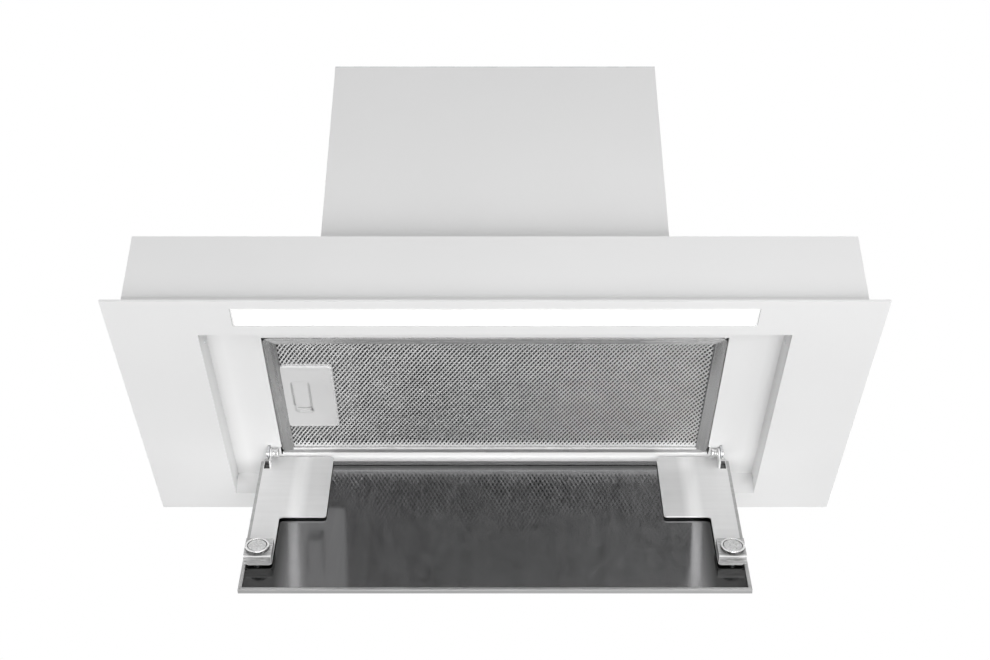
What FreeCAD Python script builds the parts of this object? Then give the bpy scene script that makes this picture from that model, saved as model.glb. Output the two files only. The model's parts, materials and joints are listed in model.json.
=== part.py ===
import FreeCAD, Part
import Sketcher
import os
import re

# Built-in range hood. The origin is the middle of the cabinet cut-out on the seat plane,
# the upper face of the flange. X runs to the right, Y to the back and Z up, in millimetres.

sizes = {
    # flange, lower casing and upper housing
    "flange_width": 598,
    "flange_depth": 300,
    "sheet_thickness": 1,
    "overcut": 1,
    "casing_side_inset": 14.5,
    "casing_end_inset": 7,
    "casing_top": 68.5,
    "casing_vent_inset": 16,
    "side_hole_radius": 2.75,
    "side_hole_spacing": 140,
    "side_hole_height": 40,
    "housing_width": 278,
    "housing_end_inset": 18,
    "housing_top": 278,
    "housing_fold": 12,
    # recess in the underside
    "recess_side_margin": 68.7,
    "recess_front_margin": 42,
    "recess_rear_margin": 24,
    "recess_height": 21,
    "rivet_head_radius": 1.7,
    "rivet_head_height": 0.6,
    "rivet_radius": 1.2,
    "rivet_tail": 2,
    "rivet_height": 13.8,
    "rivet_front_inset": 27.5,
    "rivet_rear_inset": 5,
    # light
    "light_side_margin": 97.5,
    "light_width": 21.3,
    "light_front_margin": 9.2,
    "light_clearance": 0.3,
    "diffuser_thickness": 2.5,
    "channel_wall": 0.8,
    "channel_height": 10,
    "end_cap_thickness": 2,
    "light_board_width": 16,
    "light_board_inset": 1.5,
    "light_board_thickness": 1.6,
    "chip_size": 3,
    "chip_height": 0.8,
    "chip_count": 24,
    # grease filter
    "filter_side_gap": 44.3,
    "filter_front_gap": 32.5,
    "filter_thickness": 9,
    "filter_rear_gap": 35,
    "filter_clearance": 1,
    "filter_border": 10,
    "frame_sheet": 0.8,
    "mesh_clearance": 0.2,
    "seat_foot": 5,
    "seat_lip": 8,
    "seat_gap": 0.3,
    "relief_width": 1.2,
    "relief_length": 9,
    "relief_overrun": 3.2,
    "hook_width": 12,
    "hook_spacing": 95,
    "hook_reach": 4.5,
    "hook_rise": 2,
    "hook_thickness": 1.5,
    "hook_clearance": 0.4,
    # filter handle and latch
    "handle_width": 39.2,
    "handle_share": 0.538,
    "handle_edge_gap": 13,
    "handle_front_share": 0.225,
    "handle_plate": 1,
    "handle_proud": 0.4,
    "handle_corner": 3,
    "cup_inset": 1.5,
    "cup_wall": 1.2,
    "cup_height": 7,
    "latch_travel": 5.5,
    "latch_gap": 0.3,
    "pad_width": 14.7,
    "pad_share": 0.446,
    "pad_thickness": 1,
    "pad_inset": 4.3,
    "pad_front_share": 0.246,
    "pad_gap": 0.2,
    "neck_width": 5,
    "neck_length": 8,
    "carriage_width": 12,
    "carriage_length": 24,
    "carriage_thickness": 3,
    "bolt_width": 7.4,
    "bolt_reach": 3,
    "spring_radius": 1.3,
    "spring_bore": 0.8,
    # perimeter panel, measured from its hinge axis
    "hinge_rear_gap": 40.3,
    "hinge_head_gap": 0.3,
    "panel_open_angle": 71.9,
    "panel_side_gap": 24.3,
    "panel_front_gap": 34.8,
    "panel_thickness": 4,
    "panel_rear_overhang": 2.86,
    "panel_level": 5.02,
    "panel_skin": 1,
    "panel_rim": 3,
    "panel_plate": 1,
    "plate_clearance": 0.2,
    # arms, hinges and magnets
    "arm_outer_inset": 3.3,
    "arm_width": 60.5,
    "arm_tongue_width": 21.3,
    "arm_front_gap": 26.46,
    "arm_tongue_share": 0.424,
    "arm_rear_overhang": 1.2,
    "arm_lift": 2,
    "arm_thickness": 1.5,
    "arm_corner": 3,
    "spacer_width": 22,
    "spacer_front_share": 0.1,
    "spacer_rear_share": 0.15,
    "spacer_inset": 12,
    "ear_inset": 7.4,
    "ear_front": 11.6,
    "ear_rear": 1.5,
    "ear_window": 5.3,
    "ear_round": 4.2,
    "pin_radius": 2,
    "pin_clearance": 0.05,
    "pin_head_radius": 4.2,
    "pin_head_length": 5.5,
    "hinge_side_gap": 0.4,
    "clip_radius": 3.6,
    "clip_thickness": 0.8,
    "bracket_sheet": 1.5,
    "bracket_round": 5,
    "bracket_foot_width": 20,
    "bracket_foot_length": 18,
    "stop_gap": 0.03,
    "block_outer_inset": 2,
    "block_inner_inset": 0.1,
    "block_depth": 22,
    "block_height": 8.2,
    "magnet_radius": 10,
    "magnet_inset": 0.6,
    "magnet_front_shift": 0.9,
    "magnet_height": 3.3,
    "disc_radius": 8.15,
    "disc_gap": 0.35,
    "disc_height": 1.6,
    "cup_floor": 1.5,
    "block_screw_radius": 1.5,
    "block_screw_head_radius": 3,
    "block_screw_head_height": 1.4,
    "block_screw_depth": 6,
    "block_screw_spacing": 12,
    # outlet collar and damper flaps
    "collar_radius": 74.5,
    "collar_wall": 2.5,
    "collar_height": 40,
    "collar_flange_radius": 90,
    "collar_flange": 3,
    "flap_seat": 6,
    "flap_seat_height": 2.5,
    "flap_clearance": 1.5,
    "flap_gap": 0.3,
    "flap_thickness": 1.5,
    "flap_split": 3.4,
    "flap_pin_radius": 1.5,
    "flap_pin_height": 9.5,
    "flap_pin_seat": 2,
    "flap_barrel_radius": 3,
    "flap_barrel_length": 12,
    "flap_barrel_gap": 1,
    # blower
    "scroll_width": 120,
    "scroll_front_gap": 7,
    "scroll_growth": 7,
    "scroll_wall": 2.5,
    "scroll_height": 158,
    "neck_half": 60,
    "neck_flange": 12,
    "neck_flange_height": 3,
    "inlet_radius": 50,
    "seam_rim": 8,
    "seam_thickness": 2.5,
    "impeller_gap": 10.5,
    "impeller_half_width": 52,
    "impeller_disc": 2,
    "blade_depth": 11,
    "blade_inset": 0.5,
    "blade_thickness": 1,
    "blade_count": 32,
    "ring_width": 4,
    "hub_radius": 11,
    "hub_left": 5,
    "hub_right": 14,
    "shaft_radius": 4,
    "shaft_depth": 34,
    "shaft_end": 22,
    "nut_radius": 8,
    "nut_height": 6,
    "motor_radius": 38,
    "motor_gap": 8,
    "running_clearance": 0.05,
    "bush_radius": 5,
    "bush_height": 3,
    "bush_circle": 56,
    "motor_plate": 2,
    "motor_plate_radius": 36,
    "motor_arm_width": 14,
    "motor_arm_reach": 62,
    "capacitor_radius": 15,
    "capacitor_length": 50,
    "capacitor_bottom": 110,
    "capacitor_inset": 39,
    "clip_band": 1.2,
    "clip_band_height": 14,
    "clip_foot": 24,
    # electrics
    "gland_side_inset": 27,
    "gland_rear_inset": 27,
    "gland_head_radius": 12,
    "gland_head_height": 8,
    "gland_shank_radius": 8,
    "gland_shank_length": 10,
    "gland_bore_radius": 4.5,
    "gland_clearance": 0.1,
    "gland_nut_height": 5,
    "box_gap": 4,
    "box_width": 44,
    "box_length": 130,
    "box_height": 34,
    "box_wall": 2,
    "box_lid": 2,
    "box_front": 60,
    "board_lift": 5,
    "board_gap": 0.5,
    "board_thickness": 1.6,
    "terminal_width": 20,
    "terminal_length": 50,
    "terminal_height": 16,
    "driver_width": 40,
    "driver_length": 110,
    "driver_height": 25,
    # screws
    "screw_radius": 1.9,
    "screw_head_radius": 3.6,
    "screw_head_height": 1.8,
    "screw_head_gap": 1,
    "screw_length": 6,
    "lid_screw_spacing": 88,
    "back_screw_spacing": 70,
    "foot_screw_spacing": 120,
    "collar_screw_circle": 82,
}

doc = FreeCAD.newDocument("RangeHood")
sheet = doc.addObject("Spreadsheet::Sheet", "Sizes")
for row, (name, number) in enumerate(sizes.items(), 1):
    sheet.set(f"A{row}", name)
    sheet.set(f"B{row}", str(number))
    sheet.setAlias(f"B{row}", name)
doc.recompute()

nodes = []

# Places that several pieces share, written as formulas of the sizes.
flange_under = "(-2*sheet_thickness)"
floor = "(-sheet_thickness)"
ceiling = f"({flange_under} + recess_height)"
ceiling_top = f"({ceiling} + sheet_thickness)"
recess_front = "(recess_front_margin - flange_depth/2)"
recess_rear = "(flange_depth/2 - recess_rear_margin)"
recess_side = "(flange_width/2 - recess_side_margin)"
tub_side = f"({recess_side} + sheet_thickness)"
casing_side = "(flange_width/2 - casing_side_inset)"
casing_end = "(flange_depth/2 - casing_end_inset)"
housing_side = "(housing_width/2)"
housing_rear = f"({casing_end} - housing_end_inset)"
housing_front = f"(-{housing_rear})"
lid_under = "(housing_top - sheet_thickness)"
light_side = "(flange_width/2 - light_side_margin)"
light_front = "(light_front_margin - flange_depth/2)"
light_rear = f"({light_front} + light_width)"
filter_side = f"({recess_side} - filter_side_gap)"
filter_rear = f"({recess_rear} - filter_rear_gap)"
filter_front = f"({recess_front} + filter_front_gap)"
filter_depth = f"({filter_rear} - {filter_front})"
filter_top = f"({ceiling} + filter_thickness)"
opening_side = f"({filter_side} + filter_clearance)"
opening_front = f"({filter_front} - filter_clearance)"
opening_rear = f"({filter_rear} + filter_clearance)"
handle_left = f"(handle_edge_gap - {filter_side})"
handle_right = f"({handle_left} + handle_width)"
handle_depth = f"({filter_depth}*handle_share)"
handle_front = f"({filter_front} + {filter_depth}*handle_front_share)"
handle_rear = f"({handle_front} + {handle_depth})"
plate_under = f"({ceiling} - handle_proud)"
plate_top = f"({plate_under} + handle_plate)"
cup_top = f"({plate_top} + cup_height)"
pad_left = f"({handle_left} + pad_inset)"
pad_front = f"({handle_front} + {handle_depth}*pad_front_share)"
pad_rear = f"({pad_front} + {handle_depth}*pad_share)"
latch_middle = f"(({pad_front} + {pad_rear})/2)"
carriage_under = f"({plate_top} + latch_gap)"
carriage_top = f"({carriage_under} + carriage_thickness)"
carriage_right = f"({pad_left} + carriage_width)"
bolt_under = f"({ceiling_top} + latch_gap)"
hinge_back = f"({recess_rear} - hinge_rear_gap)"
hinge_up = f"({ceiling} - pin_head_radius - hinge_head_gap)"
panel_side = f"({recess_side} - panel_side_gap)"
ear_inner = f"({panel_side} - arm_outer_inset - ear_inset)"
bracket_inner = f"({ear_inner} + bracket_sheet + hinge_side_gap)"
bracket_outer = f"({bracket_inner} + bracket_sheet)"
collar_bottom = "(housing_top)"
collar_bore = "(collar_radius - collar_wall)"
flap_under = f"({collar_bottom} + collar_flange + flap_seat_height + flap_gap)"
flap_axis = f"({collar_bottom} + flap_pin_height)"
flap_radius = f"({collar_bore} - flap_clearance)"
scroll_side = "(scroll_width/2)"
scroll_radius = f"(({housing_rear} + neck_half - 3*scroll_growth - seam_rim - scroll_front_gap)/2)"
scroll_middle = f"(neck_half - {scroll_radius} - 3*scroll_growth)"
impeller_radius = f"({scroll_radius} - impeller_gap)"
wheel_back = f"({scroll_middle} + scroll_growth/2)"
wheel_up = "(scroll_height + scroll_growth/2)"
gland_left = f"(gland_side_inset - {housing_side})"
gland_back = f"({housing_rear} - gland_rear_inset)"
bush_left = f"(-{scroll_side} - bush_height)"
capacitor_side = f"({housing_side} - capacitor_inset)"
fold_middle = "(housing_fold/2)"


def formula(text):
    """The text of an expression, with each size named as a cell of the sheet."""
    return re.sub(r"[a-z][a-z_]+", lambda word: "Sizes." + word[0] if word[0] in sizes else word[0], text)


def size(name):
    return float(sheet.get(name))


def bind(item, **properties):
    """Tie properties of an object to formulas; base is its x, y, z place."""
    for name, text in properties.items():
        if name == "base":
            for axis, place in zip("xyz", text):
                item.setExpression(f"Placement.Base.{axis}", formula(place))
        else:
            item.setExpression(name, formula(text))
    return item


def block(x, y, z):
    """A box between the low and high formula on each axis."""
    item = doc.addObject("Part::Box", "Block")
    lengths = [f"({high}) - ({low})" for low, high in (x, y, z)]
    return bind(item, Length=lengths[0], Width=lengths[1], Height=lengths[2], base=(x[0], y[0], z[0]))


turns = {
    "x": FreeCAD.Rotation(FreeCAD.Vector(0, 1, 0), 90),
    "y": FreeCAD.Rotation(FreeCAD.Vector(1, 0, 0), -90),
    "z": FreeCAD.Rotation(),
}


def rod(axis, radius, low, high, middle, angle=360, start=0):
    """A cylinder along an axis from low to high; middle is its place on the two other axes."""
    item = doc.addObject("Part::Cylinder", "Rod")
    spin = FreeCAD.Rotation(FreeCAD.Vector(0, 0, 1), start)
    item.Placement.Rotation = turns[axis].multiply(spin)
    item.Angle = angle
    base = list(middle)
    base.insert("xyz".index(axis), low)
    return bind(item, Radius=radius, Height=f"({high}) - ({low})", base=base)


def fuse(*items):
    if len(items) == 1:
        return items[0]
    item = doc.addObject("Part::MultiFuse", "Fuse")
    item.Shapes = list(items)
    return item


def cut(base, *tools):
    item = doc.addObject("Part::Cut", "Cut")
    item.Base = base
    item.Tool = fuse(*tools)
    return item


def common(first, second):
    item = doc.addObject("Part::Common", "Common")
    item.Base = first
    item.Tool = second
    return item


def group(items):
    """Separate solids that share one node."""
    item = doc.addObject("Part::Compound", "Group")
    item.Links = list(items)
    return item


def node(label, item):
    item.Label = label
    nodes.append(item)
    return item


def hang(item):
    """Place a panel piece, drawn closed about its hinge axis, at the open angle."""
    item.Placement.Rotation = FreeCAD.Rotation(FreeCAD.Vector(1, 0, 0), size("panel_open_angle"))
    item.setExpression("Placement.Rotation.Angle", formula("panel_open_angle"))
    return bind(item, base=("0", hinge_back, hinge_up))


def both(half):
    """The span from minus to plus a half width."""
    return (f"-({half})", half)


def past(low, high):
    """A span that runs a little past both its ends, for a cut."""
    return (f"{low} - overcut", f"{high} + overcut")


def around(middle, half):
    return (f"{middle} - {half}", f"{middle} + {half}")


def inset(limits, amount):
    """A span drawn in by an amount at both ends."""
    return (f"{limits[0]} + {amount}", f"{limits[1]} - {amount}")


def span(side, near, far):
    """The span between two distances from the middle plane, on the side given by its sign."""
    return (near, far) if side > 0 else (f"-({far})", f"-({near})")


def outline_pad(label, points, height, low, corner=None):
    """A flat plate: a closed outline of straight runs, padded up from low, corners rounded."""
    body = doc.addObject("PartDesign::Body", label)
    sketch = body.newObject("Sketcher::SketchObject", label + "Outline")
    plane = [part for part in body.Origin.OriginFeatures if part.Role == "XY_Plane"][0]
    sketch.AttachmentSupport = (plane, [""])
    sketch.MapMode = "FlatFace"
    sketch.AttachmentOffset = FreeCAD.Placement(FreeCAD.Vector(0, 0, 1), FreeCAD.Rotation())
    sketch.setExpression("AttachmentOffset.Base.z", formula(low))
    corners = [FreeCAD.Vector(value(x), value(y), 0) for x, y in points]
    for start, end in zip(corners, corners[1:] + corners[:1]):
        sketch.addGeometry(Part.LineSegment(start, end))
    for index, (x, y) in enumerate(points):
        after = (index + 1) % len(points)
        sketch.addConstraint(Sketcher.Constraint("Coincident", index, 2, after, 1))
        for kind, text in (("DistanceX", x), ("DistanceY", y)):
            number = sketch.addConstraint(Sketcher.Constraint(kind, -1, 1, index, 1, value(text)))
            sketch.setExpression(f"Constraints[{number}]", formula(text))
    pad = body.newObject("PartDesign::Pad", label + "Pad")
    pad.Profile = sketch
    pad.setExpression("Length", formula(height))
    doc.recompute()
    if corner:
        upright = [f"Edge{number}" for number, edge in enumerate(pad.Shape.Edges, 1)
                   if abs(edge.tangentAt(edge.FirstParameter).z) > 0.99]
        fillet = body.newObject("PartDesign::Fillet", label + "Fillet")
        fillet.Base = (pad, upright)
        fillet.setExpression("Radius", formula(corner))
        doc.recompute()
    return body


def value(text):
    """The number that a formula gives with the sizes as they are."""
    return float(sheet.evalExpression(formula(text)))


def screw(axis, sign, seat, middle, length="screw_length"):
    """A pan-head screw whose head sits on a plane and whose shank runs against the sign."""
    head = (seat, f"{seat} + screw_head_height") if sign > 0 else (f"{seat} - screw_head_height", seat)
    shank = (f"{seat} - {length}", seat) if sign > 0 else (seat, f"{seat} + {length}")
    return fuse(rod(axis, "screw_head_radius", *head, middle), rod(axis, "screw_radius", *shank, middle))


def screw_hole(axis, low, high, middle):
    return rod(axis, "screw_radius", low, high, middle)


def corner_relief(side, heights):
    """Bending relief beside a rear corner of the filter opening."""
    return block(span(side, opening_side, f"{opening_side} + relief_width"),
                 (f"{opening_rear} - relief_length", f"{opening_rear} + relief_overrun"), heights)


def make_bottom_pan():
    """Flange sheet with the light slot and a tub pressed up into it, open for the filter."""
    sheet_plate = block(both("flange_width/2"), both("flange_depth/2"), (flange_under, floor))
    tub = block(both(tub_side), (f"{recess_front} - sheet_thickness", f"{recess_rear} + sheet_thickness"),
                (flange_under, ceiling_top))
    recess = block(both(recess_side), (recess_front, recess_rear), (f"{flange_under} - overcut", ceiling))
    opening = block(both(opening_side), (opening_front, opening_rear), past(ceiling, ceiling_top))
    slot = block(both(f"{light_side} + light_clearance"),
                 (f"{light_front} - light_clearance", f"{light_rear} + light_clearance"),
                 past(flange_under, floor))
    holes = [hinge_slot(side) for side in (-1, 1)]
    holes += [corner_relief(side, past(ceiling, ceiling_top)) for side in (-1, 1)]
    holes += [rod("x", "rivet_radius", *span(side, *past(recess_side, tub_side)), place)
              for side in (-1, 1) for place in rivet_places]
    node("bottom_pan", cut(fuse(sheet_plate, tub), recess, opening, slot, *holes))


rivet_places = [
    (f"{recess_front} + rivet_front_inset", f"{flange_under} + rivet_height"),
    (f"{recess_rear} - rivet_rear_inset", f"{flange_under} + rivet_height"),
]


def hinge_slot(side):
    """The slot in the recess ceiling through which a hinge bracket hangs."""
    return block(span(side, f"{bracket_inner} - hinge_side_gap", f"{bracket_outer} + hinge_side_gap"),
                 (f"{hinge_back} - bracket_round - hinge_side_gap", f"{stop_back} + hinge_side_gap"),
                 past(ceiling, ceiling_top))


def make_recess_rivets():
    rivets = []
    for side in (-1, 1):
        for place in rivet_places:
            head = rod("x", "rivet_head_radius",
                       *span(side, f"{recess_side} - rivet_head_height", recess_side), place)
            shank = rod("x", "rivet_radius", *span(side, recess_side, f"{tub_side} + rivet_tail"), place)
            rivets.append(fuse(head, shank))
    node("recess_rivets", group(rivets))


def make_casing_shell():
    """Lower box with an outward foot, a vent under the housing and holes for side screws."""
    foot = block(both("flange_width/2"), both("flange_depth/2"), (floor, "0"))
    box = block(both(casing_side), both(casing_end), (floor, "casing_top"))
    room = block(both(f"{casing_side} - sheet_thickness"), both(f"{casing_end} - sheet_thickness"),
                 (f"{floor} - overcut", "casing_top - sheet_thickness"))
    vent = block(both(f"{housing_side} - casing_vent_inset"), both(f"{housing_rear} - casing_vent_inset"),
                 ("casing_top - 2*sheet_thickness", "casing_top + overcut"))
    wall = (f"{casing_side} - sheet_thickness", casing_side)
    holes = [rod("x", "side_hole_radius", *span(side, *past(*wall)),
                 (f"{end}*side_hole_spacing/2", "side_hole_height"))
             for side in (-1, 1) for end in (-1, 1)]
    holes += [screw_hole("z", "casing_top - screw_length", "casing_top + overcut", place)
              for place in foot_places]
    node("casing_shell", cut(fuse(foot, box), room, vent, *holes))


foot_places = [(f"{side}*({housing_side} - {fold_middle})", f"{end}*foot_screw_spacing/2")
               for side in (-1, 1) for end in (-1, 1)]
foot_places += [(f"{side}*foot_screw_spacing/2", f"{housing_front} + {fold_middle}") for side in (-1, 1)]
lid_places = [(f"{side}*({housing_side} - {fold_middle})", f"{step}*lid_screw_spacing")
              for side in (-1, 1) for step in (-1, 0, 1)]
back_places = [(f"{side}*({housing_side} - {fold_middle})",
                f"(casing_top + housing_top)/2 + {step}*back_screw_spacing")
               for side in (-1, 1) for step in (-1, 0, 1)]
blower_places = [(f"{side}*({scroll_side} + neck_flange/2)", f"{end}*neck_half*3/4")
                 for side in (-1, 1) for end in (-1, 1)]
collar_places = [(f"collar_screw_circle*cos({angle})", f"collar_screw_circle*sin({angle})")
                 for angle in (20, 160, 200, 340)]


def make_housing_wrap():
    """Front and sides of the upper box in one folded sheet, with folds turned inward all round."""
    outer = block(both(housing_side), (housing_front, f"{housing_rear} - sheet_thickness"),
                  ("casing_top", lid_under))
    room = block(both(f"{housing_side} - sheet_thickness"),
                 (f"{housing_front} + sheet_thickness", f"{housing_rear} - 2*sheet_thickness"),
                 ("casing_top + sheet_thickness", f"{lid_under} - sheet_thickness"))
    open_middle = block(both(f"{housing_side} - housing_fold"),
                        (f"{housing_front} + housing_fold", f"{housing_rear} + overcut"),
                        past("casing_top", "housing_top"))
    holes = [screw_hole("z", f"{lid_under} - screw_length", f"{lid_under} + overcut", place)
             for place in lid_places]
    holes += [screw_hole("z", "casing_top - overcut", "casing_top + screw_length", place)
              for place in foot_places]
    holes += [screw_hole("y", f"{housing_rear} - screw_length", housing_rear, place) for place in back_places]
    node("housing_wrap", cut(outer, room, open_middle, *holes))


def make_housing_covers():
    """Flat back plate and flat lid with the outlet opening."""
    back = block(both(housing_side), (f"{housing_rear} - sheet_thickness", housing_rear),
                 ("casing_top", lid_under))
    back_holes = [screw_hole("y", f"{housing_rear} - screw_length", f"{housing_rear} + overcut", place)
                  for place in back_places]
    node("housing_back", cut(back, *back_holes))
    lid = block(both(housing_side), (housing_front, housing_rear), (lid_under, "housing_top"))
    low, high = past(lid_under, "housing_top")
    holes = [rod("z", collar_bore, low, high, ("0", "0"))]
    holes += [screw_hole("z", low, high, place) for place in lid_places + blower_places + collar_places]
    holes.append(rod("z", "gland_shank_radius + gland_clearance", low, high, (gland_left, gland_back)))
    node("housing_lid", cut(lid, *holes))


def make_housing_screws():
    node("lid_screws", group(screw("z", 1, "housing_top", place) for place in lid_places))
    node("back_screws", group(screw("y", 1, housing_rear, place) for place in back_places))
    node("housing_screws", group(screw("z", 1, "(casing_top + sheet_thickness)", place)
                                 for place in foot_places))
    node("blower_screws", group(screw("z", 1, "housing_top", place, "(sheet_thickness + neck_flange_height)")
                                for place in blower_places))
    node("collar_screws", group(screw("z", 1, f"({collar_bottom} + collar_flange)", place)
                                for place in collar_places))


def make_outlet_collar():
    """Round spigot with a flange and an inner ledge on which the damper flaps rest."""
    middle = ("0", "0")
    flange_top = f"{collar_bottom} + collar_flange"
    flange = rod("z", "collar_flange_radius", collar_bottom, flange_top, middle)
    spigot = rod("z", "collar_radius", collar_bottom, f"{collar_bottom} + collar_height", middle)
    throat = rod("z", f"{collar_bore} - flap_seat", f"{collar_bottom} - overcut", flap_under, middle)
    bore = rod("z", collar_bore, f"{flap_under} - flap_gap",
               f"{collar_bottom} + collar_height + overcut", middle)
    pin_seat = rod("x", "flap_pin_radius", *both(f"{collar_bore} + flap_pin_seat"), ("0", flap_axis))
    holes = [screw_hole("z", *past(collar_bottom, flange_top), place) for place in collar_places]
    clearances = [rod("z", "screw_head_radius + screw_head_gap", *past(collar_bottom, flange_top), place)
                  for place in blower_places]
    node("outlet_collar", cut(fuse(flange, spigot), throat, bore, pin_seat, *holes, *clearances))
    node("flap_pin", rod("x", "flap_pin_radius", *both(f"{collar_bore} + flap_pin_seat"), ("0", flap_axis)))


def make_flap(label, sign):
    """Half-round flap with two barrels on the shared pin; the sign says which side of it."""
    top = f"{flap_under} + flap_thickness"
    disc = rod("z", flap_radius, flap_under, top, ("0", "0"), angle=180, start=0 if sign > 0 else 180)
    strip = block(both("collar_radius"), both("flap_split"), past(flap_under, top))
    pieces = [cut(disc, strip)]
    for middle in (-1, 1):
        step = "(flap_barrel_length + flap_barrel_gap)"
        low = f"{middle}*3*{step} + {sign}*{step}/2 - flap_barrel_length/2"
        high = f"{low} + flap_barrel_length"
        pieces.append(rod("x", "flap_barrel_radius", low, high, ("0", flap_axis)))
        pieces.append(block((low, high), span(sign, "0", "flap_split + overcut"), (flap_under, top)))
    bore = rod("x", "flap_pin_radius + running_clearance", *both("collar_radius"), ("0", flap_axis))
    node(label, cut(fuse(*pieces), bore))


# radius of each quarter round, and how many growth widths its middle lies right and up
scroll_rounds = [(scroll_radius, 0, 0), (f"({scroll_radius} + scroll_growth)", 1, 0),
                 (f"({scroll_radius} + 2*scroll_growth)", 1, 1)]


def scroll_solid(half_width, shrink, top):
    """Spiral of three quarter rounds with growing radii, and the neck that rises from it."""
    x = both(half_width)
    pieces = []
    for (radius, right, up), start in zip(scroll_rounds, (90, 180, 270)):
        middle = (f"{scroll_middle} + {right}*scroll_growth", f"scroll_height + {up}*scroll_growth")
        # a rod along X starts its sweep at minus Z
        pieces.append(rod("x", f"{radius} - {shrink}", *x, middle, angle=90, start=start + 90))
    if top:
        pieces.append(block(x, both(f"neck_half - {shrink}"), ("scroll_height", top)))
    return fuse(*pieces)


def make_scroll():
    """Blower housing in two halves that meet at the middle plane, with a screwed rim and side inlets."""
    shell = fuse(scroll_solid(scroll_side, "0", lid_under),
                 common(scroll_solid("seam_thickness", "-seam_rim", None), seam_keep()),
                 block(both(f"{scroll_side} + neck_flange"), both("neck_half"),
                       (f"{lid_under} - neck_flange_height", lid_under)))
    room = scroll_solid(f"{scroll_side} - scroll_wall", "scroll_wall", f"{lid_under} + overcut")
    inlet = rod("x", "inlet_radius", *both(f"{scroll_side} + overcut"), (wheel_back, wheel_up))
    holes = [screw_hole("x", *both("screw_length"), place) for place in seam_places]
    holes += [screw_hole("z", *past(f"{lid_under} - neck_flange_height", lid_under), place)
              for place in blower_places]
    whole = cut(shell, room, inlet, *holes)
    reach = f"{scroll_side} + neck_flange + overcut"
    for label, x in (("scroll_left", (f"-({reach})", "0")), ("scroll_right", ("0", reach))):
        half = block(x, both(housing_rear), ("0", "housing_top"))
        node(label, common(whole, half))
    node("scroll_screws", group(screw("x", 1, "seam_thickness", place, "2*seam_thickness")
                                for place in seam_places))


def seam_keep():
    """The space left of the neck and below it, where the halves have their rim."""
    below = block(both("scroll_width"), both(housing_rear), ("0", "scroll_height"))
    left = block(both("scroll_width"), (housing_front, "-neck_half"), ("0", "housing_top"))
    return fuse(below, left)


seam_places = []
for (radius, right, up), angle in zip(scroll_rounds, (150, 225, 315)):
    seam_places.append((f"{scroll_middle} + {right}*scroll_growth + ({radius} + seam_rim/2)*cos({angle})",
                        f"scroll_height + {up}*scroll_growth + ({radius} + seam_rim/2)*sin({angle})"))


def make_impeller():
    """Double-inlet wheel: middle disc, hub, two end rings and a ring of straight blades."""
    middle = (wheel_back, wheel_up)
    disc = rod("x", impeller_radius, *both("impeller_disc/2"), middle)
    hub = rod("x", "hub_radius", "-hub_left", "hub_right", middle)
    pieces = [disc, hub]
    for side in (-1, 1):
        ring_span = span(side, "impeller_half_width - ring_width", "impeller_half_width")
        ring = rod("x", impeller_radius, *ring_span, middle)
        pieces.append(cut(ring, rod("x", f"{impeller_radius} - blade_depth", *both("scroll_width"), middle)))
    for number in range(int(size("blade_count"))):
        angle = f"({number}*360/blade_count)"
        blade = block(both("impeller_half_width"), ("0", "1"), ("0", "1"))
        bind(blade, Width="blade_depth - 2*blade_inset", Height="blade_thickness", base=(
            "-impeller_half_width",
            f"{wheel_back} + ({impeller_radius} - blade_depth + blade_inset)*cos({angle})",
            f"{wheel_up} + ({impeller_radius} - blade_depth + blade_inset)*sin({angle})"))
        blade.Placement.Rotation = FreeCAD.Rotation(FreeCAD.Vector(1, 0, 0), value(angle))
        pieces.append(blade)
    bore = rod("x", "shaft_radius", *past("-hub_left", "hub_right"), middle)
    node("impeller", cut(fuse(*pieces), bore))
    node("motor_shaft", rod("x", "shaft_radius", "-motor_gap - shaft_depth", "shaft_end", middle))
    nut = rod("x", "nut_radius", "hub_right", "hub_right + nut_height", middle)
    node("impeller_nut", cut(nut, rod("x", "shaft_radius", *past("hub_right", "shaft_end"), middle)))


def make_motor():
    """Motor can inside the wheel, carried by a three-armed bracket on rubber bushes."""
    middle = (wheel_back, wheel_up)
    can = rod("x", "motor_radius", bush_left, "-motor_gap", middle)
    bore_x = past("-motor_gap - shaft_depth", "-motor_gap")
    bore = rod("x", "shaft_radius + running_clearance", *bore_x, middle)
    node("motor", cut(can, bore))
    plate = [rod("x", "motor_plate_radius", f"{bush_left} - motor_plate", bush_left, middle)]
    bushes = []
    for angle in (90, 210, 330):
        arm = block((f"{bush_left} - motor_plate", bush_left), ("0", "motor_arm_reach"),
                    ("0", "motor_arm_width"))
        bind(arm, base=(f"{bush_left} - motor_plate",
                        f"{wheel_back} + motor_arm_width/2*sin({angle})",
                        f"{wheel_up} - motor_arm_width/2*cos({angle})"))
        arm.Placement.Rotation = FreeCAD.Rotation(FreeCAD.Vector(1, 0, 0), angle)
        plate.append(arm)
        place = (f"{wheel_back} + bush_circle*cos({angle})", f"{wheel_up} + bush_circle*sin({angle})")
        bushes.append(rod("x", "bush_radius", bush_left, f"-{scroll_side}", place))
    node("motor_bracket", fuse(*plate))
    node("motor_bushes", group(bushes))


def make_capacitor():
    """Run capacitor held to the housing back by a band clip."""
    back = f"({housing_rear} - sheet_thickness)"
    middle = (f"-{capacitor_side}", f"{back} - capacitor_radius - clip_band")
    top = "capacitor_bottom + capacitor_length"
    node("capacitor", rod("z", "capacitor_radius", "capacitor_bottom", top, middle))
    low = "capacitor_bottom + capacitor_length/2 - clip_band_height/2"
    high = f"{low} + clip_band_height"
    band = rod("z", "capacitor_radius + clip_band", low, high, middle)
    foot = block((f"-{capacitor_side}", f"clip_foot - {capacitor_side}"), (f"{back} - clip_band", back),
                 (low, high))
    hollow = rod("z", "capacitor_radius", *past(low, high), middle)
    node("capacitor_clip", cut(fuse(band, foot), hollow))


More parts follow.
